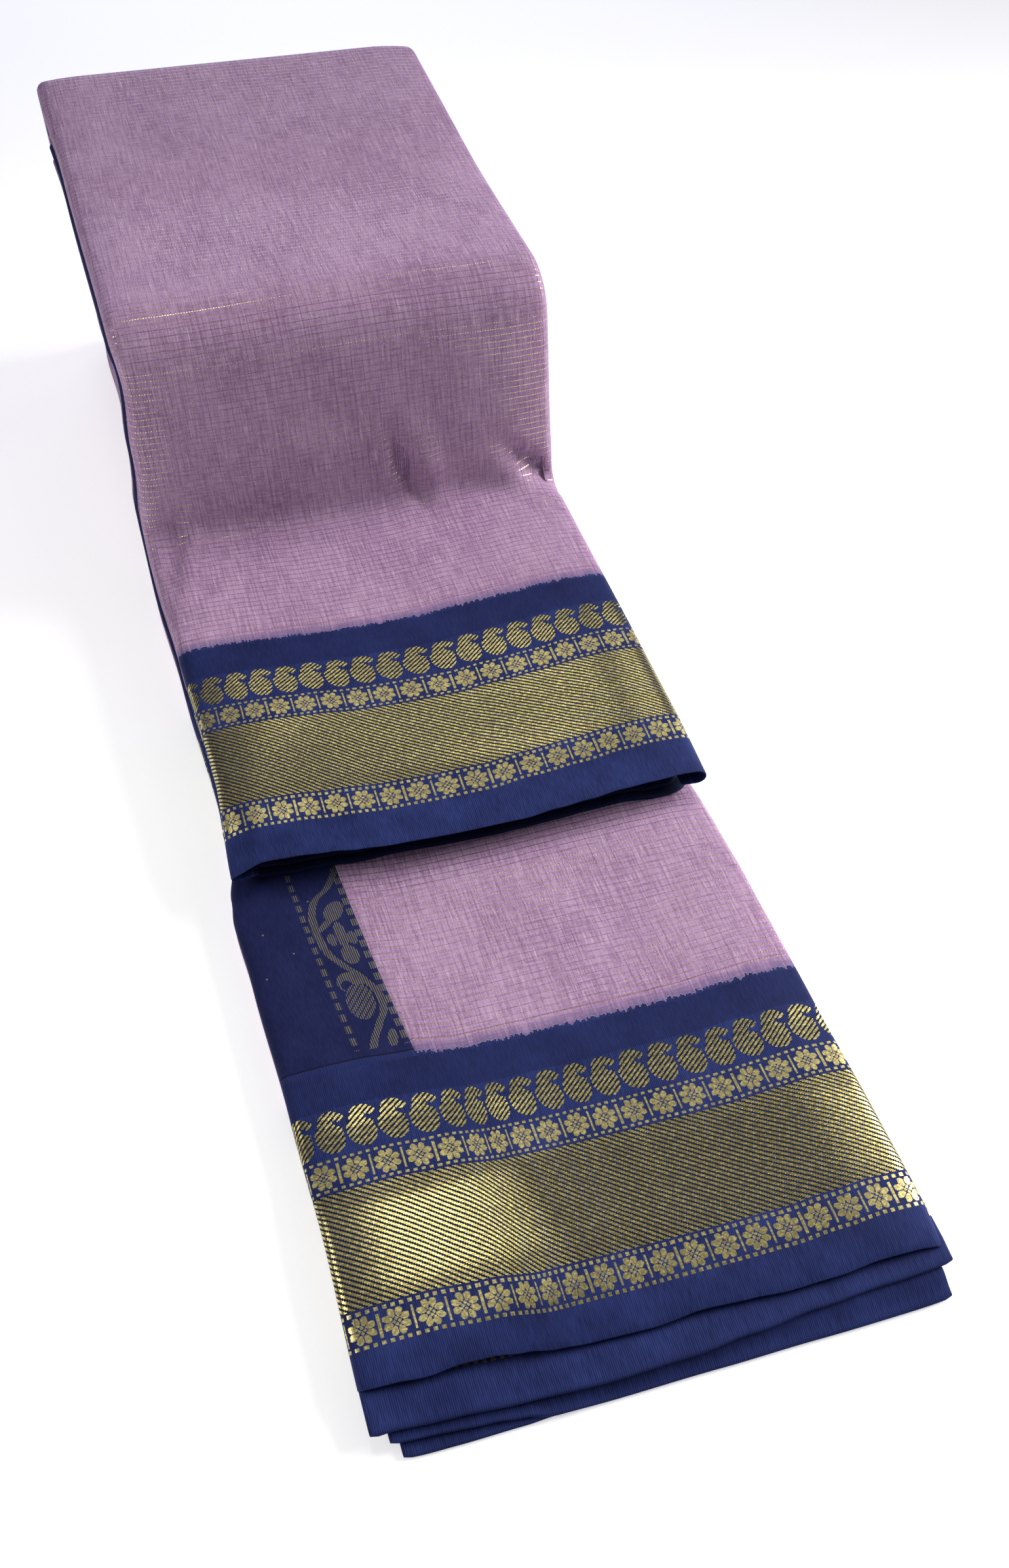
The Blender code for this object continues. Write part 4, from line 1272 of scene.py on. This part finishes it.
# The border's design, in millimetres from its selvedge
BAND_MIDDLE = 46.7         # middle of the gold band
BAND_HALF = 20.4
ROW_FROM_MIDDLE = 27.3     # each flower row's centre line from the band's middle
TWILL_ACROSS = 2.9         # the band's slanting lines repeat after so much across and along
TWILL_ALONG = 2.0
PAISLEY_MIDDLE = 88.9
PAISLEY_END = 98.5         # the plain navy beyond the paisleys is darker
PAISLEY_SLANT = 0.10
PETAL_RADIUS = 3.3
DASHES = 4                 # dashes over each flower


def border_weave_group():
    """Gold figures of the border: flower rows, the twilled band and the paisley row."""
    u, v, leave = new_group("border_weave", "Gold", "Glint", "Height", "Shade")
    column = (u * (1.0 / RIB)).floor()
    row = (v * (1.0 / PICK)).floor()
    cell_u = ((u * (2.0 / RIB)).floor() + 0.5) * (RIB / 2.0)
    cell_v = ((v * (2.0 / PICK)).floor() + 0.5) * (PICK / 2.0)
    from_middle = (cell_v - BAND_MIDDLE).size()

    flower_u = (repeat(cell_u, MOTIF, 0.5) - 0.5) * MOTIF
    flower_v = from_middle - ROW_FROM_MIDDLE
    reach = (flower_u * flower_u + flower_v * flower_v).root()
    eighth = math.pi / 4.0
    turn = (flower_v.angle(flower_u) * (1.0 / eighth)).fract() - 0.5
    petal_u = (reach * (turn * eighth).cosine() - PETAL_RADIUS) * (1.0 / 1.45)
    petal_v = reach * (turn * eighth).sine() * (1.0 / 1.13)
    petals = (petal_u * petal_u + petal_v * petal_v).below(1.0)
    rising = ((flower_u + flower_v) * 0.55 + 0.12).fract().above(0.26)
    falling = ((flower_u - flower_v) * 0.55 + 0.12).fract().above(0.26)
    heart = reach.below(2.2) * rising * falling
    bars = flower_u.size().above(MOTIF / 2.0 - 0.42) * flower_v.size().below(3.9)
    dashes = (flower_v.size() - 5.5).size().below(0.55) * repeat(cell_u, MOTIF / DASHES, 0.24).below(0.50)
    rows_gold = petals.larger(heart).larger(bars).larger(dashes) * flower_v.size().below(6.2)

    rib_u = (column + 0.5) * RIB
    slant = repeat(rib_u, TWILL_ACROSS, v * (1.0 / TWILL_ALONG))
    in_band = (v - BAND_MIDDLE).size().below(BAND_HALF)
    band = in_band * slant.above(0.48)

    up = cell_v - PAISLEY_MIDDLE
    lean = up * PAISLEY_SLANT
    across = (repeat(cell_u - lean, MOTIF) - 0.5) * MOTIF + lean
    body = oval(across, up, 0.0, -1.0, 5.05, 6.3, 18.0).larger(oval(across, up, 1.2, 4.4, 4.6, 4.6))
    notch = oval(across, up, 4.9, 4.9, 2.9, 2.5, 12.0)
    bulb = oval(across, up, 4.25, 5.9, 2.0, 1.4, 12.0)
    hatch = (up * (1.0 / 1.90) - across * (0.78 / 1.90)).fract().above(0.50)
    in_paisley = (body * notch.other()).larger(bulb)

    gold = (rows_gold * 0.88).larger(band).larger(in_paisley * hatch)
    glint = chance(column, row)
    thread = wave(u, RIB) * -0.22 + wave(v, PICK) * -0.18 + 0.22
    shade = in_band.larger(in_paisley)
    return finished(leave, Gold=gold, Glint=glint * glint, Height=gold * thread, Shade=shade)


# The ground's dotted gold lines and its darker threads, in millimetres
ZARI_PITCH = 3.1
ZARI_WIDTH = 0.30
DASH_PITCH = 1.15
END_PITCH = 2.6            # every few threads one along the cloth is darker
GROUND_RIB = 0.80          # pitch of the relief of its threads
GROUND_PICK = 0.62


def lilac_ground_group():
    """Lilac ground: uneven threads both ways, slubs, and fine dotted gold lines across it."""
    u, v, leave = new_group("lilac_ground", "Colour", "Gold", "Glint", "Height")
    warp = noise(u, v, 1.25, 0.075, 1.0)
    weft = noise(u, v, 0.13, 1.2, 0.0)
    grain = noise(u, v + 37.0, 1.5, 0.9, 1.0)
    cloud = noise(u, v, 0.035, 0.022, 2.0)
    slub = noise(u + 71.0, v, 1.3, 0.085, 0.0)
    streak = noise(u + 19.0, v, 0.75, 0.030, 1.0)
    tone = warp * 0.80 + weft * 0.50 + grain * 0.60 + streak * 0.36 + cloud * 0.55 - 0.82
    base = mixed(tone.eased(0.05, 0.95), linear("lilac_dark"), linear("lilac"))
    base = mixed(slub.eased(0.74, 0.86) * 0.40, base, linear("lilac_light"))
    base = mixed(slub.eased(0.27, 0.18) * 0.45, base, linear("lilac_dark"))

    wander = noise(u, v, 0.012, 0.012, 0.0) * 3.0
    line_v = (v + wander) * (1.0 / ZARI_PITCH)
    line = line_v.fract().below(ZARI_WIDTH / ZARI_PITCH)
    dot = repeat(u, DASH_PITCH, line_v.floor() * 0.37).below(0.56)
    base = mixed(line * dot.other() * 0.60, base, linear("zari_dark"))
    end = repeat(u, END_PITCH, noise(u, v, 0.2, 0.01, 0.0) * 0.5).below(0.12)
    base = mixed(end * 0.34, base, linear("zari_dark"))
    glint = chance((u * (1.0 / DASH_PITCH)).floor(), line_v.floor())
    thread = wave(u, GROUND_RIB) * 0.2 + wave(v, GROUND_PICK) * 0.2 + warp * 0.6
    return finished(leave, Colour=base, Gold=line * dot, Glint=glint, Height=thread * line.other())


# The end piece's woven band, in millimetres: across from the ground, along from the selvedge
VINE_START = 116.4
VINE_HATCH = 0.80
DASH_RUN = 5.4
DASH_HALF = 1.10
DASH_COLUMNS = (-19.5, -1.5)
VINE_SHAPES = (
    # across, along, half across, half along, turn in degrees
    (-7.4, 181.4, 3.4, 5.6, -38.0),
    (-12.0, 175.6, 1.3, 5.2, -48.0),
    (-8.0, 169.6, 2.2, 6.6, 0.0),
    (-12.0, 167.6, 1.7, 3.1, 0.0),
    (-4.3, 167.4, 1.8, 3.2, 0.0),
    (-7.6, 159.5, 3.3, 4.6, 0.0),
    (-5.6, 119.6, 1.8, 4.2, -18.0),
)
STEM_HALF = 1.5
STEM_SCALE = -20.0
STEM = (
    # along, across
    (112.0, -15.0),
    (119.0, -12.6),
    (127.0, -7.8),
    (137.0, -3.6),
    (147.0, -6.4),
    (156.0, -12.4),
    (165.0, -16.2),
    (176.0, -16.5),
    (185.0, -14.4),
    (194.0, -6.0),
    (200.0, -2.0),
)


def end_piece_group():
    """Gold hatch of the end piece's band: a stem, leaves, a flower, a curl, a bud and dashed columns."""
    u, v, leave = new_group("end_piece", "Gold", "Height")
    curve = leave.id_data.nodes.new("ShaderNodeFloatCurve")
    run = STEM[-1][0] - STEM[0][0]
    points = curve.mapping.curves[0].points
    while len(points) < len(STEM):
        points.new(0.5, 0.5)
    for point, (along, across) in zip(points, STEM):
        point.location = ((along - STEM[0][0]) / run, across / STEM_SCALE)
    curve.mapping.update()
    link((v - STEM[0][0]) * (1.0 / run), curve.inputs["Value"])
    figure = (u - Value(curve.outputs[0]) * STEM_SCALE).size().below(STEM_HALF)
    for shape in VINE_SHAPES:
        figure = figure.larger(oval(u, v, *shape))
    curl = oval(u, v, -11.9, 146.6, 4.8, 4.9) * oval(u, v, -13.4, 145.2, 2.0, 2.6).other()
    bud = oval(u, v, -11.0, 137.5, 5.2, 8.3, -10.0)
    bud_lines = (u * 0.42 + v * -0.36).fract().above(0.22)
    figure = (figure.larger(curl) * bud.other()).larger(bud * bud_lines)

    left, right = [(u - place).size().below(DASH_HALF) for place in DASH_COLUMNS]
    dashes = left.larger(right) * repeat(v, DASH_RUN).below(0.62)
    shown = figure.larger(dashes) * v.above(VINE_START)
    gold = shown * repeat(u, VINE_HATCH, 0.06).below(0.46)
    speck = chance((u * 1.4).floor(), (v * 1.4).floor()).above(0.9997)
    return finished(leave, Gold=gold.larger(speck), Height=gold)


GROUPS = {
    "navy": navy_threads_group(),
    "border": border_weave_group(),
    "ground": lilac_ground_group(),
    "end": end_piece_group(),
}


def new_material(name):
    material = bpy.data.materials.new(name)
    material.use_nodes = True
    tree = material.node_tree
    tree.nodes.clear()
    shader = tree.nodes.new("ShaderNodeBsdfPrincipled")
    output = tree.nodes.new("ShaderNodeOutputMaterial")
    link(shader.outputs[0], output.inputs["Surface"])
    return material, shader


def cloth_material(name):
    """A new material, its shader and the cloth coordinates in millimetres."""
    material, shader = new_material(name)
    place = material.node_tree.nodes.new("ShaderNodeUVMap")
    place.uv_map = "cloth"
    parts = material.node_tree.nodes.new("ShaderNodeSeparateXYZ")
    link(place.outputs[0], parts.inputs[0])
    return material, shader, Value(parts.outputs["X"]) * 1000.0, Value(parts.outputs["Y"]) * 1000.0


CLOTH_ROUGHNESS = 0.72
METAL_ROUGHNESS = 0.25
THREAD_RELIEF = 0.00002    # depth of the woven relief, in metres
END_RELIEF = 0.00003
PLY_RELIEF = 0.00025


def finish_cloth(shader, colour, gold, glint, height, relief, sheen):
    """Connect a cloth's colour, its metal thread and its relief."""
    gold_colour = mixed(glint, linear("gold_dark"), linear("gold"))
    link(mixed(gold, colour, gold_colour), shader.inputs["Base Color"])
    link(gold * 0.92, shader.inputs["Metallic"])
    link(CLOTH_ROUGHNESS - gold * (CLOTH_ROUGHNESS - METAL_ROUGHNESS), shader.inputs["Roughness"])
    bump = shader.id_data.nodes.new("ShaderNodeBump")
    bump.inputs["Strength"].default_value = 1.0
    bump.inputs["Distance"].default_value = relief
    link(height, bump.inputs["Height"])
    link(bump.outputs[0], shader.inputs["Normal"])
    shader.inputs["Sheen Weight"].default_value = sheen
    shader.inputs["Sheen Roughness"].default_value = 0.4
    shader.inputs["Sheen Tint"].default_value = linear("sheen")
    shader.inputs["Specular IOR Level"].default_value = 0.12


def painted_shade_inner_material():
    """Navy cloth inside the open end, darkened towards deep navy as painted shade where the light hardly
    reaches.
    """
    material, shader, u, v = cloth_material("navy_inside_painted_shade")
    navy = placed("navy", u, v)
    # Painted shade: the navy is mixed 55 to 90 per cent towards deep navy, more the further back from the
    # edge.
    colour = mixed(v.eased(1.2, 3.2) * 0.35 + 0.55, navy["Colour"], linear("navy_deep"))
    no_gold = v * 0.0
    finish_cloth(shader, colour, no_gold, no_gold, navy["Height"], THREAD_RELIEF, 0.0)
    return material


def border_material():
    material, shader, u, v = cloth_material("navy_border")
    navy = placed("navy", u, v)
    weave = placed("border", u, v)
    colour = mixed(v.above(PAISLEY_END) * 0.45, navy["Colour"], linear("navy_dark"))
    colour = mixed(weave["Shade"] * 0.75, colour, linear("navy_deep"))
    height = navy["Height"] * 0.6 + weave["Height"]
    finish_cloth(shader, colour, weave["Gold"], weave["Glint"], height, THREAD_RELIEF, 0.02)
    return material


FEATHER = 5.4              # width of the mauve edge where the ground starts, in millimetres
FEATHER_START = 0.6        # it starts this far into the ground's cloth


def ground_material(name, start):
    """Lilac ground, with the ragged mauve line where it starts from the border, given in metres."""
    material, shader, u, v = cloth_material(name)
    ground = placed("ground", u, v)
    navy = placed("navy", u, v)
    beyond = v - (start * 1000.0 + FEATHER_START)
    thread = chance((u * (1.0 / RIB)).floor(), 3.0)
    ripple = noise(u, v, 0.45, 0.0, 2.0)
    ragged = thread * 1.6 + ripple * 2.6 - 1.4
    in_feather = beyond.above(ragged)
    feather = beyond.eased(FEATHER + 1.0, FEATHER - 2.6) * (0.40 + thread * 0.45)
    tick = (beyond - ragged).size().below(0.30) * thread.above(0.45)
    colour = mixed(feather, ground["Colour"], linear("mauve"))
    colour = mixed(beyond.eased(3.0, 0.2) * (0.30 + thread * 0.40), colour, linear("navy_light"))
    colour = mixed(tick * 0.30, colour, linear("lilac_light"))
    colour = mixed((beyond - FEATHER - 1.1).size().below(0.25) * 0.5, colour, linear("zari_dark"))
    colour = mixed(in_feather.other(), colour, navy["Colour"])
    gold = ground["Gold"] * beyond.above(FEATHER)
    finish_cloth(shader, colour, gold, ground["Glint"], ground["Height"], THREAD_RELIEF, 0.16)
    return material


PLAIN_END = 113.4          # a dark pick crosses the end piece here, with ribbed navy before it
END_RIB = 1.1


def end_piece_material():
    material, shader, u, v = cloth_material("navy_end_piece")
    weave = placed("end", u, v)
    cloud = noise(u, v, 0.08, 0.05, 2.0)
    warp = noise(u, v, 1.6, 0.25, 1.0)
    tone = (cloud * 0.7 + warp * 0.6 - 0.15).eased(0.1, 0.9)
    colour = mixed(tone, linear("navy_dark"), linear("end_piece"))
    ribbed = v.below(PLAIN_END) * (0.30 + wave(u, END_RIB) * 0.12)
    colour = mixed(ribbed, colour, linear("navy_light"))
    colour = mixed((v - PLAIN_END).size().below(0.35) * 0.75, colour, linear("navy_deep"))
    height = weave["Height"] + warp * 0.8
    finish_cloth(shader, colour, weave["Gold"] * 0.27, warp, height, END_RELIEF, 0.02)
    return material


PLY_PITCH = 1.05
LAYERS_GROUND = 114.0      # the plies are navy up to this far along, and ground beyond it


def layers_material():
    """Edges of many folded plies: the border near the open end, the ground beyond it."""
    material, shader, u, v = cloth_material("folded_layers")
    ground = placed("ground", u, v)
    navy = placed("navy", u, v)
    weave = placed("border", u, v)
    wander = noise(u, v, 0.10, 0.022, 1.0)
    groove_and_shade = (repeat(u + wander * 2.4, PLY_PITCH) - 0.5).size().eased(0.34, 0.50)
    in_ground = v.above(LAYERS_GROUND)
    colour = mixed(in_ground, navy["Colour"], ground["Colour"])
    # Painted shade: the grooves between the plies' edges are darkened towards dark navy; they are also sunk
    # in the relief.
    colour = mixed(groove_and_shade * 0.45, colour, linear("navy_dark"))
    gold = weave["Gold"] * in_ground.other()
    height = groove_and_shade * -1.0 + ground["Height"] * 0.1
    finish_cloth(shader, colour, gold, weave["Glint"], height, PLY_RELIEF, 0.10)
    return material


# Pieces
BORDER_MATERIAL = border_material()
UPPER_GROUND_MATERIAL = ground_material("lilac_ground_upper", UPPER_GROUND + UPPER_SHIFT)
LOWER_GROUND_MATERIAL = ground_material("lilac_ground_lower", LOWER_GROUND + LOWER_SHIFT)
END_MATERIAL = end_piece_material()
LAYERS_MATERIAL = layers_material()
PAINTED_SHADE_INNER_MATERIAL = painted_shade_inner_material()


def dress(piece, material, node):
    """Give a piece its material and its body, and hide the solid that it stands for."""
    piece.data.materials.append(material)
    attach(piece, "root")
    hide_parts(node)
    return piece


upper_border, upper_body = upper_cover_pieces()
lower_border, lower_body, lower_pallu = lower_cover_pieces()
dress(upper_border, BORDER_MATERIAL, "upper_border")
dress(upper_body, UPPER_GROUND_MATERIAL, "upper_body")
dress(lower_border, BORDER_MATERIAL, "lower_border")
dress(lower_body, LOWER_GROUND_MATERIAL, "lower_body")
dress(lower_pallu, END_MATERIAL, "lower_pallu")
pallu_edge = dress(edge_fold_piece(), END_MATERIAL, "pallu_edge")
layers = [
    dress(piece, LAYERS_MATERIAL, "hidden_layers")
    for piece in (strip_layers(), tier_layers(), pile_layers(), far_fold_layers())
]
near_plies = [dress(near_ply(*row), BORDER_MATERIAL, row[0]) for row in NEAR_PLIES]
# The plies inside the open end take the navy darkened with painted shade.
mouth_plies = [dress(mouth_ply(*row), PAINTED_SHADE_INNER_MATERIAL, row[0]) for row in MOUTH_PLIES]


# Camera, floor and light
FLOOR_REACH = 6.0
FLOOR_GLOW = 0.55
ROOM_COLOUR = (0.93, 0.95, 1.0, 1.0)
ROOM_GLOW = 0.16


def make_camera():
    camera = new_object("camera", bpy.data.cameras.new("camera"))
    camera.data.sensor_width = SENSOR
    camera.data.lens = FOCAL_PIXELS / IMAGE_HEIGHT * SENSOR
    turn = (
        Matrix.Rotation(CAMERA_YAW, 4, "Z")
        @ Matrix.Rotation(CAMERA_PITCH, 4, "X")
        @ Matrix.Rotation(CAMERA_ROLL, 4, "Z")
    )
    camera.matrix_world = Matrix.Translation(CAMERA_PLACE) @ turn
    bpy.context.scene.camera = camera


def make_floor():
    mesh = bpy.data.meshes.new("floor")
    corners = [(x * FLOOR_REACH, y * FLOOR_REACH, 0.0) for x, y in ((-1, -1), (1, -1), (1, 1), (-1, 1))]
    mesh.from_pydata(corners, [], [(0, 1, 2, 3)])
    material, shader = new_material("floor")
    shader.inputs["Base Color"].default_value = linear("floor")
    shader.inputs["Roughness"].default_value = 0.8
    shader.inputs["Emission Color"].default_value = linear("floor")
    shader.inputs["Emission Strength"].default_value = FLOOR_GLOW
    mesh.materials.append(material)
    new_object("floor", mesh)


def facing(unit):
    """Axes of a lamp whose light goes against the given direction."""
    side = np.cross((0.0, 0.0, 1.0), unit)
    side = side / np.linalg.norm(side)
    up = np.cross(unit, side)
    return np.stack((side, up, unit), axis=1)


def area_light(name, place, aim, size, spread, power, colour):
    """A soft square light at a place, turned to its aim."""
    light = bpy.data.lights.new(name, "AREA")
    light.size = size
    light.spread = math.radians(spread)
    light.energy = power
    light.color = colour
    unit = np.array(place) - np.array(aim)
    turn = Matrix(facing(unit / np.linalg.norm(unit)).tolist()).to_4x4()
    new_object(name, light).matrix_world = Matrix.Translation(place) @ turn


GLINT = (1.0, 0.98, 0.92)
LIGHTS = (
    # name, place, aim, size, spread in degrees, power, colour
    ("key", (1.30, -0.04, 0.68), (0.0, -0.22, 0.0), 0.90, 62.0, 5.0, (1.0, 0.98, 0.97)),
    ("fill", (-0.95, -0.05, 0.85), (0.0, -0.20, 0.0), 0.60, 70.0, 0.9, (1.0, 0.98, 0.98)),
    ("sky", (0.20, 1.20, 0.42), (0.0, 0.15, 0.10), 0.70, 150.0, 2.1, (0.64, 0.66, 1.0)),
    ("low_glint", (-0.06, 0.37, 1.48), (-0.05, -0.27, 0.0), 0.22, 180.0, 1.3, GLINT),
    ("mid_glint", (0.346, 0.764, 1.147), (0.02, -0.14, 0.02), 0.16, 180.0, 0.30, (1.0, 0.98, 0.94)),
    ("high_glint", (0.04, 1.02, 1.21), (-0.05, -0.06, 0.03), 0.30, 180.0, 0.44, GLINT),
    ("low_side_glint", (1.08, 0.55, 1.56), (0.09, -0.25, 0.0), 0.34, 180.0, 0.8, GLINT),
    ("high_side_glint", (0.96, 1.11, 1.39), (0.09, -0.07, 0.0), 0.30, 180.0, 0.7, GLINT),
)


def make_world():
    world = bpy.data.worlds.new("room")
    bpy.context.scene.world = world
    world.use_nodes = True
    background = world.node_tree.nodes["Background"]
    background.inputs["Color"].default_value = ROOM_COLOUR
    background.inputs["Strength"].default_value = ROOM_GLOW


make_camera()
make_floor()
make_world()
for row in LIGHTS:
    area_light(*row)
bpy.context.scene.view_settings.view_transform = "Standard"
